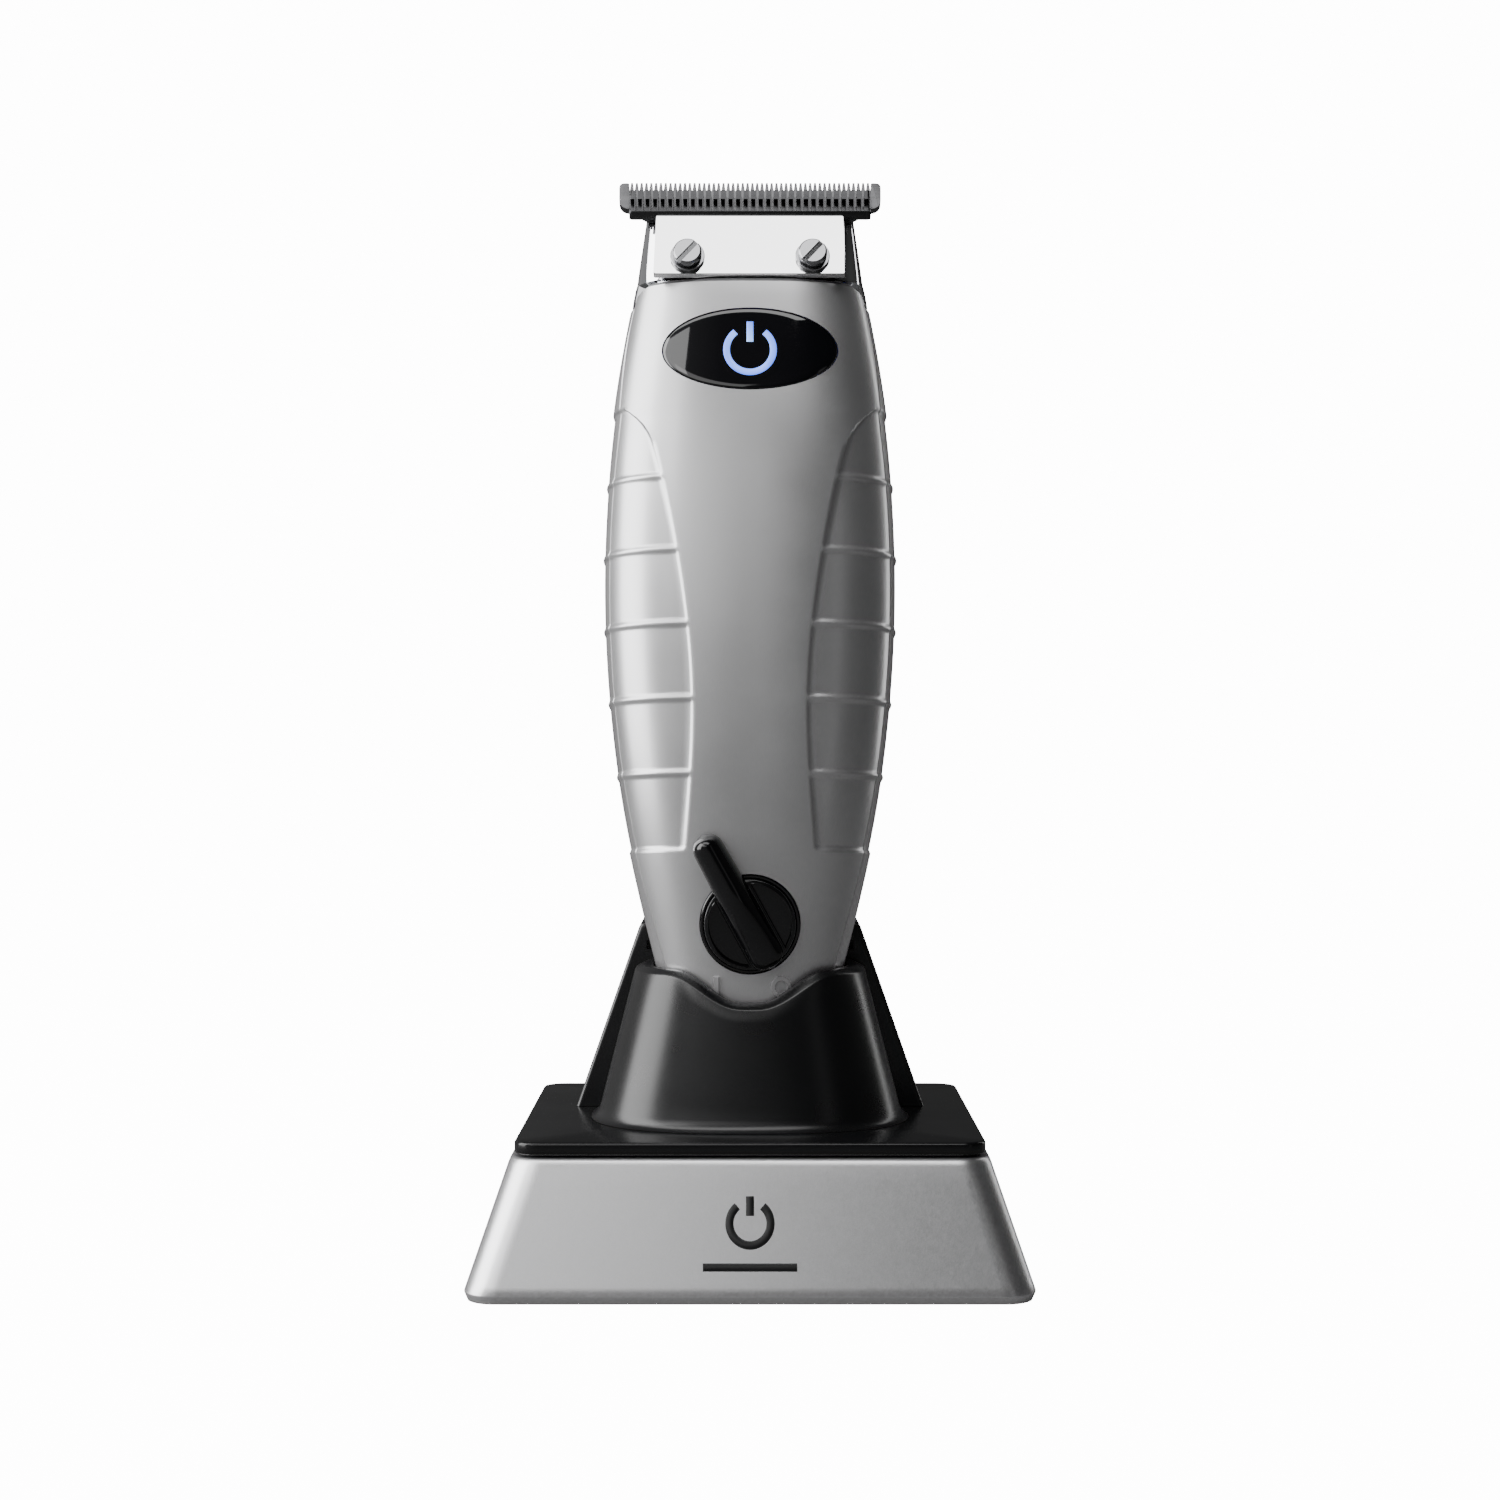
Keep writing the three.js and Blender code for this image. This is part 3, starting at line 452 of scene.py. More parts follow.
# gloss: roughness and how far it varies. drift: how far the colour varies, and at what scale.
# grain: the strength of the fine bump, its scale and its depth in metres.
MATERIALS = {
    "housing_silver": surface(
        "silver_paint", (0.52, 0.52, 0.528), gloss=(0.35, 0.02), drift=(0.02, 90),
        grain=(0.04, 9000, 0.000004), metallic=0.8, coat=0.6, coat_roughness=0.14,
    ),
    "plinth_metal": surface(
        "blasted_aluminium", (0.62, 0.62, 0.63), gloss=(0.34, 0.04), drift=(0.05, 3000),
        grain=(0.35, 5200, 0.00002), metallic=0.95,
    ),
    "deck_gloss": surface(
        "deck_black", (0.004, 0.004, 0.0045), gloss=(0.2, 0.04), drift=(0.2, 80),
        grain=(0.1, 3500, 0.00001), ior=1.4,
    ),
    "cradle_satin": surface(
        "cradle_black", (0.004, 0.004, 0.0045), gloss=(0.29, 0.03), drift=(0.2, 70),
        grain=(0.08, 3500, 0.00001),
    ),
    "inner_black": surface(
        "moulded_black", (0.03, 0.03, 0.031), gloss=(0.5, 0.06), drift=(0.15, 120),
        grain=(0.3, 2600, 0.00002),
    ),
    "inner_white": surface(
        "natural_moulding", (0.75, 0.74, 0.7), gloss=(0.45, 0.06), drift=(0.04, 120),
        grain=(0.2, 2600, 0.00002),
    ),
    "pad_rubber": surface(
        "foot_rubber", (0.03, 0.03, 0.03), gloss=(0.8, 0.08), drift=(0.2, 150),
        grain=(0.7, 1800, 0.00005),
    ),
    "small_steel": surface(
        "plated_steel", (0.5, 0.5, 0.52), gloss=(0.3, 0.08), drift=(0.08, 400),
        grain=(0.2, 5000, 0.00001), metallic=1,
    ),
    "board_green": surface(
        "solder_mask", (0.02, 0.17, 0.06), gloss=(0.35, 0.08), drift=(0.25, 900),
        grain=(0.3, 2500, 0.00002),
    ),
    "contact_brass": surface(
        "bright_brass", (0.8, 0.56, 0.22), gloss=(0.2, 0.06), drift=(0.08, 400),
        grain=(0.15, 4000, 0.00001), metallic=1,
    ),
    "lens_black": surface(
        "lens_gloss", (0.002, 0.002, 0.003), gloss=(0.05, 0.015), drift=(0.2, 60),
        grain=(0.02, 1200, 0.000004), coat=0.5,
    ),
    "indicator_light": lit_surface(
        "blue_light", icon_middle_m, 0.0055, (0.3, 0.55, 1.0), (0.04, 0.1, 0.9), 1.7,
    ),
    "switch_black": surface(
        "knob_gloss", (0.003, 0.003, 0.0035), gloss=(0.1, 0.02), drift=(0.2, 90),
        grain=(0.03, 1500, 0.000006), ior=1.48,
    ),
    "battery_wrap": surface(
        "shrink_wrap", (0.06, 0.2, 0.5), gloss=(0.25, 0.06), drift=(0.1, 200),
        grain=(0.2, 1500, 0.00003),
    ),
    "motor_steel": surface(
        "rolled_steel", (0.55, 0.55, 0.56), gloss=(0.25, 0.08), drift=(0.06, 500),
        grain=(0.2, 3000, 0.00001), metallic=1, stretch=(1, 1, 0.05),
    ),
    "head_chrome": surface(
        "chrome", (0.8, 0.81, 0.83), gloss=(0.07, 0.02), drift=(0.02, 150),
        grain=(0.02, 2500, 0.000004), metallic=1,
    ),
    "head_mirror": surface(
        "mirror_plate", (0.87, 0.87, 0.88), gloss=(0.05, 0.015), drift=(0.015, 200),
        grain=(0.015, 2500, 0.000003), metallic=1,
    ),
    "blade_screw_steel": surface(
        "turned_steel", (0.27, 0.27, 0.28), gloss=(0.17, 0.05), drift=(0.05, 900),
        grain=(0.1, 3000, 0.000005), metallic=1,
    ),
    "blade_steel": surface(
        "ground_steel", (0.1, 0.1, 0.103), gloss=(0.34, 0.06), drift=(0.1, 900),
        grain=(0.3, 4000, 0.00001), metallic=1, stretch=BRUSHED_ACROSS,
    ),
    "cutter_steel": surface(
        "cutter_steel", (0.055, 0.055, 0.057), gloss=(0.34, 0.06), drift=(0.12, 900),
        grain=(0.3, 4000, 0.00001), metallic=1, stretch=BRUSHED_ACROSS,
    ),
}


def dress_cad_nodes():
    """Every CAD node takes its slot's finish, shown or not."""
    for entry in frame["record"]["subparts"]:
        node = frame["nodes"][entry["node"]]
        node.data.materials.clear()
        node.data.materials.append(MATERIALS[entry["material_slot"]])


# ---------- trimmer housing ----------
def split_y(t):
    """Depth of the seam between the shells. Near the top it runs further back."""
    return SPLIT_Y + 2.5 * smoothstep(98, 119, t)


FRONT_MIDDLE_COLUMNS = 22
GRIP_FRONT_COLUMNS = 14
GRIP_REAR_COLUMNS = 20
REAR_MIDDLE_COLUMNS = 18
EDGE_HALF_WIDTH = 0.3
SEAM_EDGE = 0.25
SEAM_DEPTH = 0.22
RING_STEPS = 96


def spaced(start, stop, count):
    return [start + (stop - start) * i / count for i in range(count + 1)]


def grip_x(t):
    """The grip's inner edge, carried on above and below the grip in proportion to the width."""
    inside = min(max(t, GRIP_LOW), GRIP_HIGH)
    return grip_edge(inside) * half_width(t) / half_width(inside)


def column_angles(t):
    """Angles and weights of the columns at height t: the front shell's, then the rear shell's.

    A weight is 1 inside the grip and 0 outside it. The grip's edges and the seam fall on columns."""
    angles = np.linspace(0, math.pi, 721)
    points = np.array([section_point(t, angle) for angle in angles])
    run = np.concatenate([[0], np.cumsum(np.hypot(*np.diff(points, axis=0).T))])
    edge_angle = math.asin((grip_x(t) / half_width(t)) ** (POWER / 2))
    seam_angle = math.acos(min((-split_y(t) / front_depth(t)) ** (POWER / 2), 1))
    seam = np.interp(seam_angle, angles, run)
    edge = min(np.interp(edge_angle, angles, run), seam - 1.5)
    rear_edge = np.interp(math.pi - edge_angle, angles, run)
    front = [(s, 0) for s in spaced(0, edge - EDGE_HALF_WIDTH, FRONT_MIDDLE_COLUMNS)]
    front += [(edge, 0.5)]
    front += [(s, 1) for s in spaced(edge + EDGE_HALF_WIDTH, seam - SEAM_EDGE, GRIP_FRONT_COLUMNS)]
    front += [(seam - 0.04, 1)]
    rear = [(seam + 0.04, 1)]
    rear += [(s, 1) for s in spaced(seam + SEAM_EDGE, rear_edge - EDGE_HALF_WIDTH, GRIP_REAR_COLUMNS)]
    rear += [(rear_edge, 0.5)]
    rear += [(s, 0) for s in spaced(rear_edge + EDGE_HALF_WIDTH, run[-1], REAR_MIDDLE_COLUMNS)]
    to_angle = lambda s: float(np.interp(s, run, angles))
    return [(to_angle(s), w) for s, w in front], [(to_angle(s), w) for s, w in rear]


def row_heights():
    """Rows of the housing, closer together at the ribs and at the grip's ends."""
    marks = {FOOT_ROUNDING, HOUSING_TOP}
    for rib in RIB_HEIGHTS:
        marks.update(rib + RIB_HALF_HEIGHT * share for share in RIB_ROWS)
    for end in (GRIP_LOW, GRIP_HIGH):
        marks.update(end + step for step in (-0.6, -0.3, 0, 0.3, 0.6))
    marks.update(HOUSING_TOP - step for step in (0.15, 0.35, 0.6))
    ordered = sorted(marks)
    rows = [ordered[0]]
    for mark in ordered[1:]:
        rows += spaced(rows[-1], mark, max(1, math.ceil((mark - rows[-1]) / 1.3)))[1:]
    return rows


def relief(t, weight):
    """How far the grip's panels and ribs stand from the plain form."""
    window = smoothstep(GRIP_LOW - 0.3, GRIP_LOW + 0.3, t) * smoothstep(GRIP_HIGH + 0.3, GRIP_HIGH - 0.3, t)
    depth = -GRIP_RECESS * window * weight
    for rib in RIB_HEIGHTS:
        distance = abs(t - rib) / RIB_HALF_HEIGHT
        if distance < 1:
            depth += (GRIP_RECESS + RIB_PROUD) * weight * math.cos(distance * math.pi / 2) ** 2
    return depth


def drop_of_top(t, angle, which):
    """The rear shell stops short of the front one, whose top corners are rounded off."""
    bend_start = 105
    if t <= bend_start:
        return t
    if which == 1:
        top = REAR_TOP
    else:
        x, _ = section_point(FRONT_TOP, angle)
        top = FRONT_TOP - 1.3 * smoothstep(14.6, 17.4, x) ** 2
    return bend_start + (t - bend_start) * (top - bend_start) / (HOUSING_TOP - bend_start)


def housing_vertex(t, angle, weight, side, inner, is_seam, which):
    height = drop_of_top(t, angle, which)
    x, y = section_point(height, angle)
    nx, ny = section_normal(height, x, y)
    if inner:
        push = -WALL
    else:
        top_rounding = 0.55 * (1 - smoothstep(0, 0.7, HOUSING_TOP - t))
        push = relief(t, weight) - (SEAM_DEPTH if is_seam else 0) - top_rounding
    return Vector((side * (x + nx * push), y + ny * push, height))


def shell_rows(which, inner):
    """The rows of one shell, each from its left seam to its right one."""
    rows = []
    for t in row_heights():
        columns = column_angles(t)[which]
        seam_index = len(columns) - 1 if which == 0 else 0
        right = [
            housing_vertex(t, angle, weight, 1, inner, i == seam_index, which)
            for i, (angle, weight) in enumerate(columns)
        ]
        left = [Vector((-p.x, p.y, p.z)) for p in right]
        if which == 0:
            rows.append(left[:0:-1] + right)
        else:
            rows.append(right + left[-2::-1])
    return rows


def shell_solid(name, which):
    """A curved wall: its outside, its inside and the rims between them."""
    outside = shell_rows(which, False)
    inside = shell_rows(which, True)
    loops = []
    for out_row, in_row in zip(outside, inside):
        loops.append(out_row + in_row[::-1])
    bm = bmesh.new()
    rows = add_rings(bm, loops, close_low=False, close_high=False)
    half = len(outside[0])
    for row in (rows[0], rows[-1]):
        for i in range(half - 1):
            bm.faces.new((row[i], row[i + 1], row[-2 - i], row[-1 - i]))
    return finish_mesh(bm, name, LEAN, 40)


def whole_ring(t, inset=0.0, height=None):
    """The housing's whole section at t, drawn at that height or at another."""
    ring = []
    for i in range(RING_STEPS):
        angle = 2 * math.pi * i / RING_STEPS
        side = 1 if angle <= math.pi else -1
        x, y = section_point(t, angle if side == 1 else 2 * math.pi - angle, inset)
        ring.append(Vector((side * x, y, t if height is None else height)))
    return ring


def foot_cup():
    """The rounded charging end, with the round mouth for the end cap."""
    rings = []
    for step in range(7):
        angle = step / 6 * math.pi / 2
        inset = FOOT_ROUNDING * (1 - math.sin(angle))
        rings.append(whole_ring(FOOT_ROUNDING, inset, FOOT_ROUNDING * (1 - math.cos(angle))))
    mouth = END_CAP_RADIUS + 0.2
    low_mouth = [Vector((p.x, p.y, 0)).normalized() * mouth for p in rings[0]]
    soft_mouth = [p * (1 + 0.3 / mouth) for p in low_mouth]
    high_mouth = [Vector((p.x, p.y, WALL)) for p in low_mouth]
    inner_edge = whole_ring(FOOT_ROUNDING, WALL, WALL)
    low_mouth = [Vector((p.x, p.y, 0.3)) for p in low_mouth]
    top_rim = whole_ring(FOOT_ROUNDING, 0.05, FOOT_ROUNDING + 0.1)
    stack = [high_mouth, low_mouth, soft_mouth, *rings, top_rim, inner_edge]
    bm = bmesh.new()
    rows = add_rings(bm, stack, close_low=False, close_high=False)
    close_loop(bm, rows)
    return finish_mesh(bm, "foot_cup", LEAN)


LENS_HALF_WIDTH = 13.1
LENS_HALF_HEIGHT = 6.3
KNOB_RADIUS = 6.75
KNOB_FACE_Y = -0.95
BEZEL_RADIUS = 7.35


def oval_prism(grow, front, back):
    rings = []
    for y in (front, back):
        ring = []
        for i in range(96):
            angle = 2 * math.pi * i / 96
            x = (LENS_HALF_WIDTH + grow) * math.cos(angle)
            ring.append(Vector((x, y, ICON_HEIGHT + (LENS_HALF_HEIGHT + grow) * math.sin(angle))))
        rings.append(ring)
    return loft("oval", rings, LEAN)


def build_housing():
    front = shell_solid("front_shell", 0)
    front = carve(front, [oval_prism(0.12, -20, -6), rod_mesh(BEZEL_RADIUS + 0.12, -8, 7, SWITCH, 96)])
    add_piece("front_shell", front, "trimmer", "housing_silver", ["front_housing"])
    screw_pockets = [rod_mesh(1.9, 6.5, 30, LEAN, 32, (x, 0, t)) for x, t in REAR_SCREWS]
    rear = carve(shell_solid("rear_shell", 1), screw_pockets)
    rear = joined("rear_shell", [rear, foot_cup()])
    add_piece("rear_shell", rear, "trimmer", "housing_silver", ["rear_housing"])


REAR_SCREWS = [(-7.4, 12), (7.4, 12), (-14.2, 93), (14.2, 93)]


def face_patch(name, rim, thickness, proud):
    """A patch that follows the housing's front: rim gives its outline as (x, z) round a middle."""
    middle_z = sum(z for _, z in rim) / len(rim)
    bm = bmesh.new()

    def layer(share, depth):
        points = [(x * share, middle_z + (z - middle_z) * share) for x, z in rim]
        return [Vector((x, front_y(x, z) - depth, z)) for x, z in points]

    stack = [layer(0.02, proud)]
    stack += [layer(share, proud) for share in spaced(0.1, 0.97, 10)]
    stack += [layer(0.99, proud - 0.06), layer(1, proud - 0.18), layer(1, proud - thickness)]
    add_rings(bm, stack)
    return finish_mesh(bm, name, LEAN)


def build_lens():
    rim = []
    for i in range(96):
        angle = 2 * math.pi * i / 96
        rim.append((LENS_HALF_WIDTH * math.cos(angle), ICON_HEIGHT + LENS_HALF_HEIGHT * math.sin(angle)))
    lens = face_patch("lens", rim, 1.6, 0.0)
    add_piece("lens", lens, "trimmer", "lens_black", ["indicator_lens"])
    add_piece("lit_icon", power_icon(3.5, 1.0, ICON_HEIGHT - 0.2), "trimmer", "indicator_light")


STRIP_ROOT = 0.2


def strip_on_face(path, width, proud, surface_y):
    """A flat band along (x, z) points, laid on a surface whose depth surface_y gives."""
    bm = bmesh.new()
    rings = []
    count = len(path)
    for i, (x, z) in enumerate(path):
        before = Vector(path[max(i - 1, 0)])
        after = Vector(path[min(i + 1, count - 1)])
        along = (after - before).normalized()
        across = Vector((-along.y, along.x)) * (width / 2)
        ring = []
        for side, depth in ((-1, 0), (-0.85, 1), (0.85, 1), (1, 0)):
            px, pz = x + across.x * side, z + across.y * side
            ring.append(Vector((px, surface_y(px, pz) - proud * depth, pz)))
        for side in (1, -1):
            px, pz = x + across.x * side, z + across.y * side
            ring.append(Vector((px, surface_y(px, pz) + STRIP_ROOT, pz)))
        rings.append(ring)
    add_rings(bm, rings)
    return bm


def arc_path(radius, z, start, stop):
    """An arc as (x, z) points. Angles are degrees from straight up, clockwise."""
    turns = [math.radians(turn) for turn in spaced(start, stop, 40)]
    return [(radius * math.sin(a), z + radius * math.cos(a)) for a in turns]


def power_icon(radius, width, z, frame_matrix=LEAN, surface_y=front_y, proud=0.05):
    """A plain ring, open at its top, with a short bar in the opening."""
    ring_path = arc_path(radius, z, 38, 322)
    ring = finish_mesh(strip_on_face(ring_path, width, proud, surface_y), "ring", frame_matrix)
    bar_path = [(0, z + radius * share) for share in spaced(0.35, 1.25, 6)]
    bar = finish_mesh(strip_on_face(bar_path, width, proud, surface_y), "bar", frame_matrix)
    return joined("power_icon", [ring, bar])


def build_switch_marks():
    """Raised on and off marks moulded under the switch."""
    z = 15.8
    bar_path = [(-5, z + share) for share in spaced(-1.5, 1.5, 6)]
    bar = finish_mesh(strip_on_face(bar_path, 0.85, 0.42, front_y), "on_mark", LEAN)
    loop_bm = bmesh.new()
    rings = []
    for i in range(48):
        angle = 2 * math.pi * i / 48
        ring = []
        for radius, proud in ((0.85, -0.15), (0.95, 0.4), (1.45, 0.4), (1.55, -0.15)):
            x = 4.6 + radius * math.cos(angle)
            height = z + 1.05 * radius * math.sin(angle)
            ring.append(Vector((x, front_y(x, height) - proud, height)))
        rings.append(ring)
    rings.append(rings[0])
    add_rings(loop_bm, rings, False, False)
    loop = finish_mesh(loop_bm, "off_mark", LEAN)
    add_piece("switch_marks", joined("switch_marks", [bar, loop]), "trimmer", "housing_silver")


# ---------- rotary switch ----------
LEVER_ANGLE = math.radians(28.4)
LEVER_TIP = 15.1
LEVER_TAIL = 7.2


def lever_mesh():
    """The raised grip bar across the knob: rounded on top, highest at its long end."""
    rings = []
    count = 40
    turned = SWITCH @ Matrix.Rotation(-LEVER_ANGLE, 4, "Y")
    for i in range(count + 1):
        share = i / count
        along = -LEVER_TAIL + (LEVER_TIP + LEVER_TAIL) * share
        end = min(along + LEVER_TAIL, LEVER_TIP - along)
        tip_round = math.sqrt(max(1 - (1 - min(end / 2.3, 1)) ** 2, 0.0004))
        half = (2.6 - 0.3 * smoothstep(0, LEVER_TIP, along)) * tip_round
        top = -(2.1 + 2.2 * smoothstep(-LEVER_TAIL, 6, along)) - 0.3
        crest = -0.9 + (top + 0.9) * min(tip_round * 1.15, 1)
        foot = -0.62
        section = [(-half, foot)]
        for turn in spaced(-90, 90, 14):
            across = half * math.sin(math.radians(turn))
            rise = math.cos(math.radians(turn)) ** 0.8
            section.append((across, foot - 0.25 + (crest - foot + 0.25) * rise))
        section.append((half, foot))
        rings.append([Vector((x, y, along)) for x, y in section])
    return loft("lever", rings, turned, 75)


def knob_disc():
    """The knob's face: a raised rim and two sunken half-moons beside the lever."""
    profile = [
        (0.01, KNOB_FACE_Y), (KNOB_RADIUS - 0.35, KNOB_FACE_Y), (KNOB_RADIUS - 0.12, -0.85),
        (KNOB_RADIUS, -0.6), (KNOB_RADIUS, 2),
    ]
    disc = loft("disc", lathe_rings(profile, 96, axis="Y"), SWITCH)
    turned = SWITCH @ Matrix.Rotation(-LEVER_ANGLE, 4, "Y")
    pockets = []
    beads = []
    for side in (-1, 1):
        outer, flat = 6.2, 2.85
        reach = math.acos(flat / outer)
        outline = []
        for i in range(33):
            angle = -reach + 2 * reach * i / 32
            outline.append((side * outer * math.cos(angle), outer * math.sin(angle)))
        pockets.append(prism("pocket", outline, -3, 0.2, turned))
        beads.append(bead(outline, 0.12, -0.93, turned))
    return joined("disc", [carve(disc, pockets), *beads])


def bead(outline, radius, y, frame_matrix):
    """A fine raised line round a closed outline of (x, z) points, facing the front."""
    path = [Vector(point) for point in outline]
    count = len(path)
    rings = []
    for i, here in enumerate(path):
        along = (path[(i + 1) % count] - path[i - 1]).normalized()
        across = Vector((-along.y, along.x)) * radius
        ring = []
        for turn in range(0, 360, 45):
            shift = across * math.cos(math.radians(turn))
            depth = radius * math.sin(math.radians(turn))
            ring.append(Vector((here.x + shift.x, y + depth, here.y + shift.y)))
        rings.append(ring)
    bm = bmesh.new()
    rows = add_rings(bm, rings, False, False)
    close_loop(bm, rows)
    return finish_mesh(bm, "bead", frame_matrix)


def build_switch():
    knob = joined("knob", [knob_disc(), lever_mesh()])
    add_piece("knob", knob, "switch", "switch_black", ["switch_knob"])
    inner = KNOB_RADIUS + 0.1
    ring_profile = [
        (inner, 3), (inner, 0.25), (inner + 0.1, 0.1), (BEZEL_RADIUS - 0.15, 0.1),
        (BEZEL_RADIUS, 0.3), (BEZEL_RADIUS, 3), (inner, 3),
    ]
    bm = bmesh.new()
    add_rings(bm, lathe_rings(ring_profile, 96, axis="Y"), False, False)
    add_piece("bezel", finish_mesh(bm, "bezel", SWITCH), "trimmer", "switch_black", ["switch_bezel"])


# ---------- head ----------
PLATE_HALF_WIDTH = 14.2
SCREW_X = 9.4
SCREW_Z = 1.2


def nose_ring(t, half, front, rear, power):
    ring = []
    for i in range(RING_STEPS):
        angle = 2 * math.pi * i / RING_STEPS
        across, along = math.sin(angle), math.cos(angle)
        depth = front if along > 0 else rear
        x = half * math.copysign(abs(across) ** (2 / power), across)
        y = -depth * math.copysign(abs(along) ** (2 / power), along)
        ring.append(Vector((x, y, t)))
    return ring


def build_nose():
    """The chromed head block: a band flush with the rear shell, rising to a wedge that carries the blade."""
    stack = [
        whole_ring(REAR_TOP + 0.35, 0.4),
        whole_ring(REAR_TOP + 0.6, 0.15),
        whole_ring(120.5, 0.1),
        whole_ring(FRONT_TOP, 0.1),
    ]
    for share in spaced(0, 1, 8):
        t = 122.8 + (133.7 - 122.8) * share
        rear = 13.35 - 11.9 * share**1.25
        stack.append(nose_ring(t, 17.35 - 1.6 * share, 10.55 - 3.4 * share, rear, 3.4 + 2.2 * share))
    stack.append(nose_ring(134.05, 15.5, 6.9, 1.15, 5.6))
    stack.append(nose_ring(134.2, 15.1, 6.5, 0.8, 5.6))
    block = loft("nose", stack, LEAN, 30)
    front_room = box_mesh((-25, -25, 100), (25, split_y(FRONT_TOP) + 0.25, FRONT_TOP + 0.3), LEAN)
    side, foot, shelf = 13.45, -2.21, 8.35
    seat_outline = [
        (-side, foot), (side, foot), (side, shelf), (25, shelf),
        (25, 20), (-25, 20), (-25, shelf), (-side, shelf),
    ]
    blade_seat = prism("seat", seat_outline, -5, 3.5, HEAD)
    block = carve(block, [blade_seat, front_room])
    spigot = loft("spigot", [whole_ring(117, WALL + 0.4), whole_ring(FRONT_TOP, WALL + 0.4)], LEAN)
    add_piece("nose", joined("nose", [block, spigot]), "trimmer", "head_chrome", ["nose_block"])


def build_plate():
    half, low, high, edge = PLATE_HALF_WIDTH, -1.7, 8.5, 0.12
    corners = [(-half - 0.3, low), (half + 0.1, low), (half, high), (-half, high)]
    outline = [(p.x, p.y) for p in rounded_polygon(corners, 0.35, 4)]
    plate = prism("plate", outline, 0, 1.2, HEAD, edge)
    mark_sharp(plate, 8)
    add_piece("plate", plate, "trimmer", "head_mirror", ["blade_plate"])


def blade_screw(x, name, node):
    profile = [
        (0.01, 0.5), (2.4, 0.5), (2.6, 0.3), (2.6, -0.4), (2.5, -0.52), (2.0, -0.55), (1.95, -0.85),
        (2.15, -0.95), (2.15, -1.7), (2.1, -1.82), (1.9, -1.98), (0.01, -2.0),
    ]
    body = loft(name, lathe_rings(profile, 64, (x, 0, SCREW_Z), "Y"), HEAD, 30)
    turned = Matrix.Rotation(math.radians(-50), 4, "Y") @ Matrix.Rotation(math.radians(12), 4, "X")
    slot_place = HEAD @ Matrix.Translation((x, -1.5, SCREW_Z)) @ turned
    slot = box_mesh((-3, -2, -0.4), (3, 0, 0.4), slot_place)
    add_piece(name, carve(body, [slot]), "trimmer", "blade_screw_steel", [node])


def toothed_outline(half, count, root, tip, share, low, point):
    """A bar with teeth along its top, as (x, z) points.

    share is the part of the pitch that a tooth fills at its root, and point the part at its tip."""
    outline = [(-half, low), (half, low)]
    pitch = 2 * half / count
    for tooth in range(count):
        middle = half - (tooth + 0.5) * pitch
        wide, narrow = pitch * share / 2, pitch * point / 2
        outline += [(middle + wide, root), (middle + narrow, tip)]
        outline += [(middle - narrow, tip), (middle - wide, root)]
    return outline


def build_comb():
    """The fixed blade behind: a fine comb, its stem and the two raised ears."""
    teeth = prism("teeth", toothed_outline(18.4, 50, 14.1, 15.5, 0.92, 9.8, 0.42), 1.95, 3.15, HEAD)
    stem = prism("stem", [(-13, -0.9), (13, -0.9), (13, 10.5), (-13, 10.5)], 1.95, 3.1, HEAD, 0.1)
    base_corners = [(-15.6, 9.2), (15.6, 9.2), (18.9, 11.2), (-18.9, 11.2)]
    base = prism("base", [(p.x, p.y) for p in rounded_polygon(base_corners, 0.5, 4)], 1.8, 3.3, HEAD, 0.2)
    ears = []
    for side in (-1, 1):
        corners = [(18.35, 10.8), (19.2, 10.9), (19.95, 11.8), (20, 15.4), (18.45, 15.4)]
        outline = [(p.x * side, p.y) for p in rounded_polygon(corners, [0.2, 0.6, 0.6, 0.9, 0.3], 5)]
        ears.append(prism("ear", outline, 1.85, 3.3, HEAD, 0.15))
    comb = joined("comb", [teeth, stem, base, *ears])
    add_piece("comb", comb, "trimmer", "blade_steel", ["comb_blade"])


def build_cutter():
    """The moving blade in front: a hollow-ground bar slotted into coarse teeth."""
    half, count = 18.35, 32
    pitch = 2 * half / count
    # depth and height round the bar's section: a bevelled foot, a flat face and the cutting edge
    section = [(0.85, 8.75), (0.34, 9.35), (0.3, 9.45), (0.3, 13.05), (0.42, 13.2), (1.7, 13.2), (1.7, 8.75)]
    ends = [(half, 0.3), (half - 0.25, 0.05), (half - 0.5, 0)]
    stations = [(-x, inset) for x, inset in ends] + ends[::-1]
    rings = []
    for x, inset in stations:
        rings.append([Vector((x, min(y + inset, 1.7), z + (inset if z < 9 else 0))) for y, z in section])
    bar = loft("bar", rings, HEAD)
    slots, hollows = [], []
    for i in range(count + 1):
        x = -half + i * pitch
        slots.append(box_mesh((x - pitch * 0.15, -1, 9.5), (x + pitch * 0.15, 3, 15), HEAD))
        if i < count:
            hollows.append(box_mesh((x + pitch * 0.1, -1, 9.5), (x + pitch * 0.7, 1.5, 11.6), HEAD))
    bar = carve(bar, [joined("slots", slots), joined("hollows", hollows)])
    tail = box_mesh((-5, 1.3, 2.4), (5, 1.7, 9.3), HEAD)
    add_piece("cutter", joined("cutter", [bar, tail]), "cutter", "cutter_steel", ["cutter_blade"])


# ---------- stand ----------
DECK_TOP = 22.2
RIM_DIP = 40.5
RIM_SIDE = 45.2
DIP_FLAT = 1
DIP_REACH = 13
RIM_BAND = 0.9
CONE_CENTRE_Y = -3
POCKET_GAP = 0.45


def plinth_outline(z, inset):
    share = (z - 0.5) / 19.5
    width = 81.6 + (68.5 - 81.6) * share - 2 * inset
    depth = 76 + (63 - 76) * share - 2 * inset
    return lift(rounded_rectangle(width, depth, max(5 - inset, 1), 12), z)


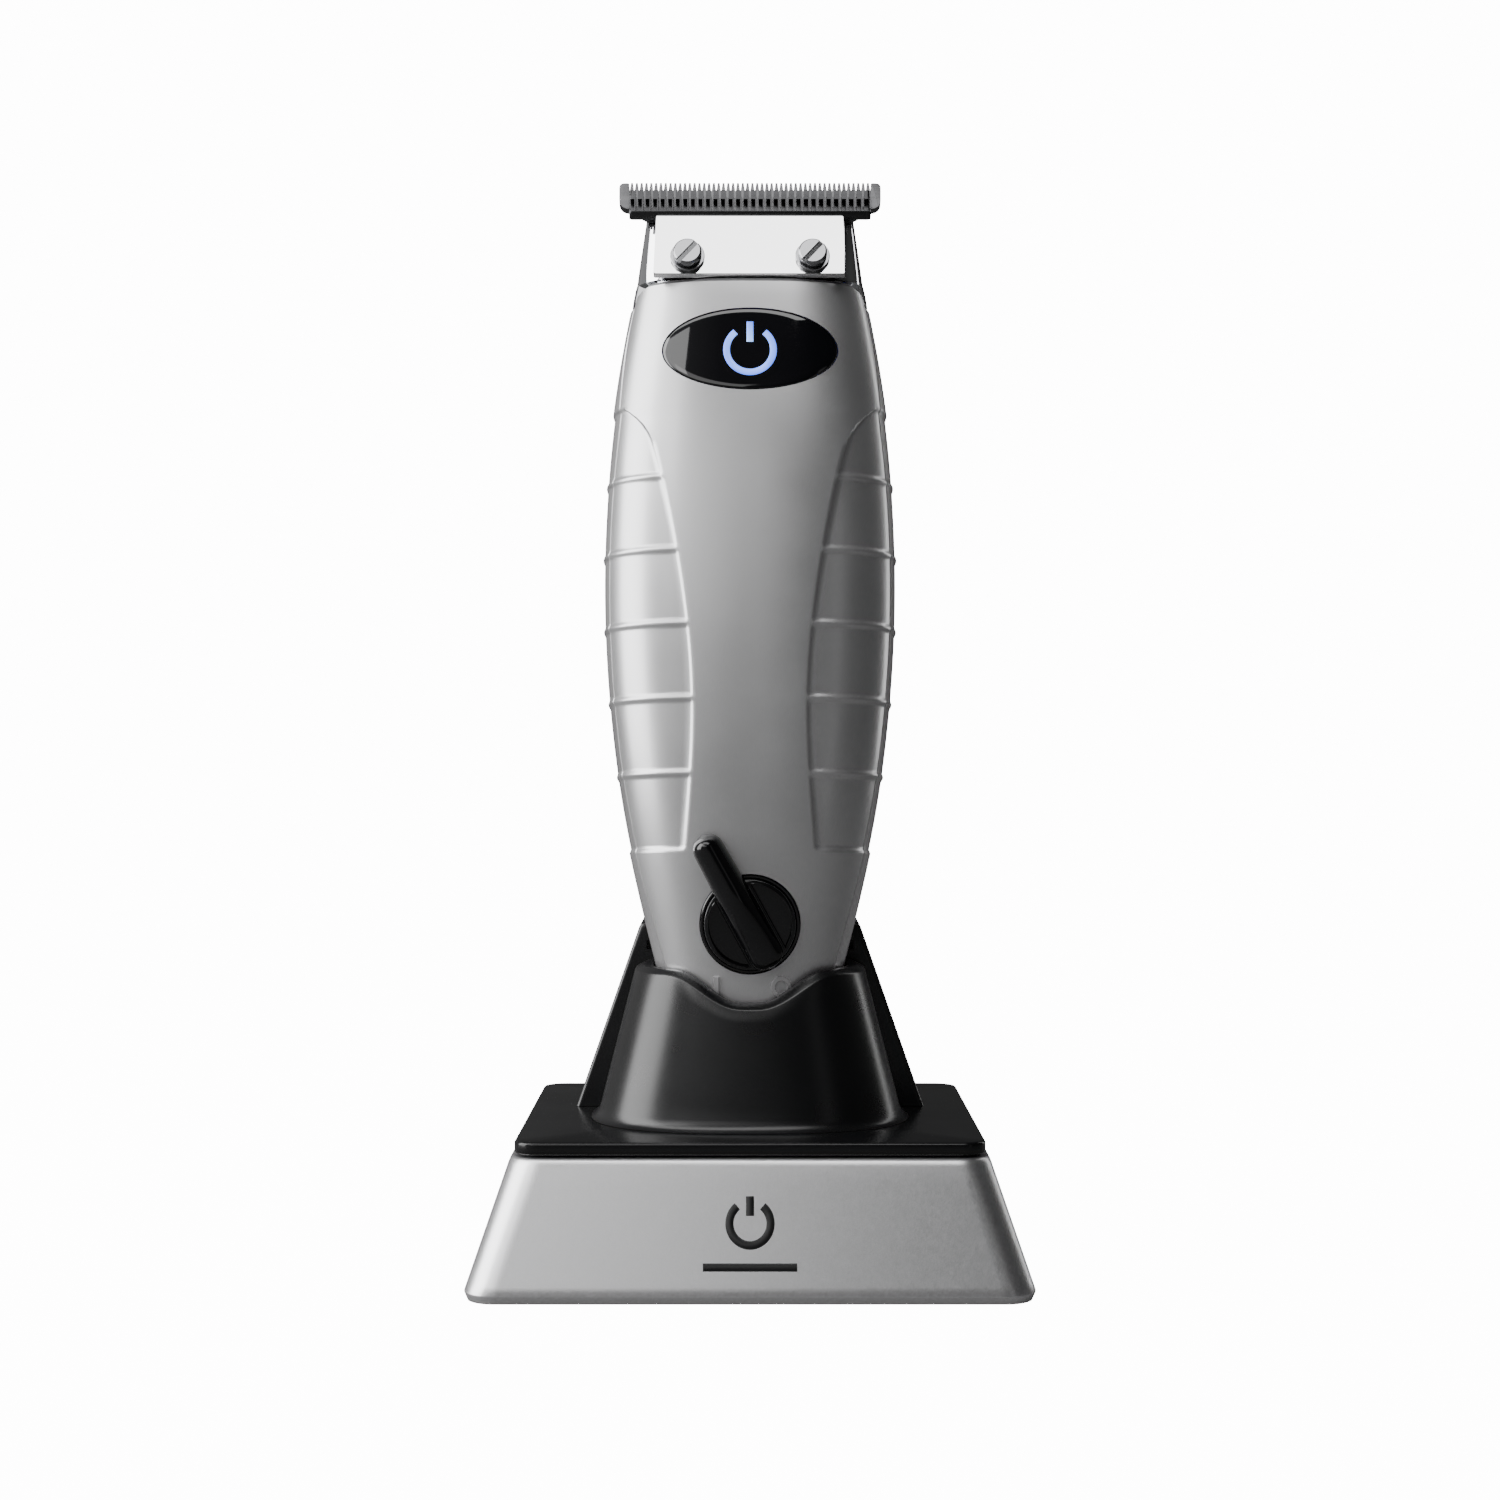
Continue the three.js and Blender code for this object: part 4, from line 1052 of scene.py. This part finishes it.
def build_plinth():
    outside = [
        *[plinth_outline(z, inset) for z, inset in ((0.5, 1.1), (0.55, 0.95), (1.55, 0.12), (1.8, 0))],
        *[plinth_outline(z, 0) for z in spaced(3, 19, 6)],
        *[plinth_outline(z, inset) for z, inset in ((19.6, 0.05), (19.88, 0.2), (20, 0.5))],
    ]
    inside = [plinth_outline(z, inset) for z, inset in ((20, 4), (18, 4), (17.8, 2.2), (0.5, 2.2))]
    bm = bmesh.new()
    rows = add_rings(bm, outside + inside, False, False)
    close_loop(bm, rows)
    shell = carve(finish_mesh(bm, "plinth", WORLD, 30), [rod_mesh(3.6, 25, 42, WORLD, 48, (0, 0, 10))])
    add_piece("plinth", shell, "stand", "plinth_metal", ["plinth_shell"])


def plinth_front_y(_, z):
    """The plinth's sloping front face, which is the same at every x."""
    return -(76 + (63 - 76) * (z - 0.5) / 19.5) / 2


def build_plinth_mark():
    """A plain power sign and a slim bar, where a maker would print its own."""
    icon = power_icon(2.9, 1.15, 11.4, WORLD, plinth_front_y, 0.04)
    bar_path = [(x, 5.6) for x in spaced(-6.6, 6.6, 8)]
    bar = finish_mesh(strip_on_face(bar_path, 1.1, 0.04, plinth_front_y), "bar", WORLD)
    add_piece("plinth_mark", joined("plinth_mark", [icon, bar]), "stand", "cradle_satin")


def build_deck():
    rings = rounded_slab_rings(67.4, 62, 3.5, 20.3, DECK_TOP, 0.45)
    add_piece("deck", loft("deck", rings), "stand", "deck_gloss", ["deck_plate"])


def cone_point(angle, z, grow=0.0):
    """The cradle's outside: an oval that narrows upwards."""
    share = (z - 22.5) / 23.5
    width = 23 + (17 - 23) * share + grow
    along = math.cos(angle)
    front = 19.2 + (15.5 - 19.2) * share + grow
    rear = 20 + (18 - 20) * share + grow
    depth = front if along > 0 else rear
    power = 2.5
    across = math.sin(angle)
    x = width * math.copysign(abs(across) ** (2 / power), across)
    y = CONE_CENTRE_Y - depth * math.copysign(abs(along) ** (2 / power), along)
    return x, y


def pocket_point(angle, z, gap):
    """The trimmer's surface at a height of the stand, moved outwards by gap."""
    lean = math.radians(5)
    side = 1 if math.sin(angle) >= 0 else -1
    turn = abs((angle + math.pi) % (2 * math.pi) - math.pi)
    y_local = 0.0
    for _ in range(4):
        t = max((z - 26 + y_local * math.sin(lean)) / math.cos(lean), 0.0)
        x_local, y_local = section_point(t, turn, -gap)
    world = LEAN @ Vector((side * x_local, y_local, t))
    return world.x, world.y


def rim_height(x):
    share = min(max((abs(x) - DIP_FLAT) / (DIP_REACH - DIP_FLAT), 0), 1)
    return RIM_DIP + (RIM_SIDE - RIM_DIP) * (1 - math.cos(math.pi * share)) / 2


def cradle_cone():
    steps = 144
    turns = [2 * math.pi * i / steps for i in range(steps)]
    tops = [rim_height(cone_point(a, 43)[0]) if math.cos(a) > -0.2 else RIM_SIDE for a in turns]
    rings = []
    for z, flare in ((22.25, 0.95), (22.4, 0.6), (22.75, 0.27), (23.3, 0.06), (24, 0)):
        rings.append([Vector((*cone_point(a, z, flare), z)) for a in turns])
    for share in spaced(0.12, 1, 8):
        rings.append([
            Vector((*cone_point(a, 24 + (top - RIM_BAND - 24) * share), 24 + (top - RIM_BAND - 24) * share))
            for a, top in zip(turns, tops)
        ])
    walls = []
    for a, top in zip(turns, tops):
        outer = Vector((*cone_point(a, top - RIM_BAND), top - RIM_BAND))
        inner = Vector((*pocket_point(a, top, POCKET_GAP), top))
        walls.append((outer, inner))
    for share, rise in ((0.03, 0.15), (0.08, 0.3), (0.45, 0.85), (0.52, 0.95), (0.6, 1.0), (0.85, 1.0)):
        rings.append([
            Vector((*(outer.lerp(inner, share)).xy, outer.z + RIM_BAND * rise)) for outer, inner in walls
        ])
    rings.append([inner for _, inner in walls])
    for drop in (0.03, 0.3, 0.65, 1):
        rings.append([
            Vector((*pocket_point(a, top - (top - 27.2) * drop, POCKET_GAP), top - (top - 27.2) * drop))
            for a, top in zip(turns, tops)
        ])
    rings.append([Vector((*(Vector(pocket_point(a, 27.2, POCKET_GAP)) * 0.9), 25.4)) for a in turns])
    return loft("cone", rings, WORLD, 32)


def cradle_backrest():
    def ring(z, inset):
        share = (z - 22.5) / 28.3
        half = 26.8 + (16.9 - 26.8) * share - inset
        rear = 24 + (19.5 - 24) * share - inset
        outline = rounded_rectangle(2 * half, rear - 4 - inset, 0.7, 8, (4 + inset + rear) / 2)
        return lift(outline, z)

    body = loft("backrest", [
        *[ring(z, 0) for z in spaced(22.25, 50, 7)],
        ring(50.5, 0.08), ring(50.74, 0.25), ring(50.8, 0.5),
    ], WORLD, 32)
    pocket_rings = []
    for z in spaced(25, 60, 20):
        ring_points = [pocket_point(2 * math.pi * i / 96, z, POCKET_GAP) for i in range(96)]
        pocket_rings.append([Vector((x, y, z)) for x, y in ring_points])
    notches = [box_mesh((x - 0.6, 3, 46.6), (x + 0.6, 6.5, 48), WORLD) for x in (-15.4, 15.4)]
    return carve(body, [loft("pocket", pocket_rings), *notches])


def build_cradle():
    add_piece("cradle_front", cradle_cone(), "stand", "cradle_satin", ["cradle"])
    add_piece("cradle_back", cradle_backrest(), "stand", "cradle_satin", ["cradle"])


def build_foot():
    pad = loft("pad", rounded_slab_rings(71, 65.5, 3, 0, 1.1, 0.25))
    add_piece("pad", pad, "stand", "pad_rubber", ["non_slip_pad"])


# ---------- studio ----------
def build_floor():
    bm = bmesh.new()
    bmesh.ops.create_grid(bm, x_segments=1, y_segments=1, size=3)
    mesh = bpy.data.meshes.new("floor")
    bm.to_mesh(mesh)
    bm.free()
    floor = bpy.data.objects.new("floor", mesh)
    bpy.context.scene.collection.objects.link(floor)
    material, nodes, links, shader = new_material("floor_white")
    shader.inputs["Base Color"].default_value = (0.15, 0.15, 0.15, 1)
    shader.inputs["Roughness"].default_value = 0.9
    shader.inputs["Emission Color"].default_value = (1, 1, 1, 1)
    path = nodes.new("ShaderNodeLightPath")
    glow = nodes.new("ShaderNodeMath")
    glow.operation = "MULTIPLY"
    glow.inputs[1].default_value = FLOOR_GLOW
    links.new(path.outputs["Is Camera Ray"], glow.inputs[0])
    links.new(glow.outputs["Value"], shader.inputs["Emission Strength"])
    mesh.materials.append(material)


def aim(obj, target):
    direction = Vector(target) - obj.location
    obj.rotation_euler = direction.to_track_quat("-Z", "Y").to_euler()


def add_area_light(name, azimuth, elevation, distance, size, power):
    """A softbox aimed at the trimmer. Azimuth counts from straight in front, towards the right."""
    middle = Vector((0, 0, 0.09))
    turn, rise = math.radians(azimuth), math.radians(elevation)
    direction = Vector((math.sin(turn) * math.cos(rise), -math.cos(turn) * math.cos(rise), math.sin(rise)))
    data = bpy.data.lights.new(name, "AREA")
    data.shape = "RECTANGLE"
    data.size, data.size_y = size
    data.energy = power
    light = bpy.data.objects.new(name, data)
    bpy.context.scene.collection.objects.link(light)
    light.location = middle + direction * distance
    aim(light, middle)


def build_lights():
    add_area_light("left_softbox", -82, 14, 0.8, (0.62, 0.9), 14.5)
    add_area_light("left_front_softbox", -46, 31, 0.8, (0.44, 0.26), 1.3)
    add_area_light("high_front_softbox", -20, 22, 0.9, (0.6, 0.3), 0.85)
    add_area_light("top_front_softbox", -27, 60, 0.85, (1.1, 0.36), 5.4)
    add_area_light("right_soft", 40, 9, 0.9, (0.14, 0.5), 0.07)
    add_area_light("right_rim", 128, 8, 0.8, (0.1, 0.9), 1.0)


BACKDROP = 14.0
FLOOR_GLOW = 14.0


def build_world():
    """A soft studio seen in reflections, brighter to the left; the camera itself sees a white backdrop."""
    world = bpy.data.worlds.new("studio")
    bpy.context.scene.world = world
    world.use_nodes = True
    nodes, links = world.node_tree.nodes, world.node_tree.links
    background = nodes["Background"]
    place = nodes.new("ShaderNodeTexCoord")
    split = nodes.new("ShaderNodeSeparateXYZ")
    links.new(place.outputs["Generated"], split.inputs["Vector"])
    ramp = nodes.new("ShaderNodeValToRGB")
    stops = ramp.color_ramp.elements
    stops[0].position = 0.0
    stops[0].color = (0.25, 0.25, 0.25, 1)
    stops[1].position = 1.0
    stops[1].color = (0.06, 0.06, 0.06, 1)
    for position, level in ((0.2, 0.3), (0.45, 0.08), (0.7, 0.025), (0.9, 0.02)):
        stop = stops.new(position)
        stop.color = (level, level, level, 1)
    shift = nodes.new("ShaderNodeMapRange")
    shift.inputs["From Min"].default_value = -1
    shift.inputs["From Max"].default_value = 1
    links.new(split.outputs["X"], shift.inputs["Value"])
    links.new(shift.outputs["Result"], ramp.inputs["Fac"])
    path = nodes.new("ShaderNodeLightPath")
    mix = nodes.new("ShaderNodeMix")
    mix.data_type = "RGBA"
    mix.clamp_factor = True
    links.new(path.outputs["Is Camera Ray"], mix.inputs["Factor"])
    links.new(ramp.outputs["Color"], mix.inputs["A"])
    mix.inputs["B"].default_value = (BACKDROP, BACKDROP, BACKDROP, 1)
    links.new(mix.outputs["Result"], background.inputs["Color"])


CAMERA_PLACE_M = (0, -0.411, 0.0834)
CAMERA_DIP_DEGREES = 0.83
CAMERA_LENS_MM = 64.5


def build_camera():
    data = bpy.data.cameras.new("camera")
    data.sensor_width = 36
    data.lens = CAMERA_LENS_MM
    camera = bpy.data.objects.new("camera", data)
    bpy.context.scene.collection.objects.link(camera)
    camera.location = CAMERA_PLACE_M
    camera.rotation_euler = (math.radians(90 - CAMERA_DIP_DEGREES), 0, 0)
    bpy.context.scene.camera = camera


build_camera()
build_floor()
build_lights()
build_world()
dress_cad_nodes()
build_housing()
build_lens()
build_switch_marks()
build_switch()
build_nose()
build_plate()
blade_screw(-SCREW_X, "left_blade_screw", "blade_screw_left")
blade_screw(SCREW_X, "right_blade_screw", "blade_screw_right")
build_comb()
build_cutter()
build_plinth()
build_plinth_mark()
build_deck()
build_cradle()
build_foot()
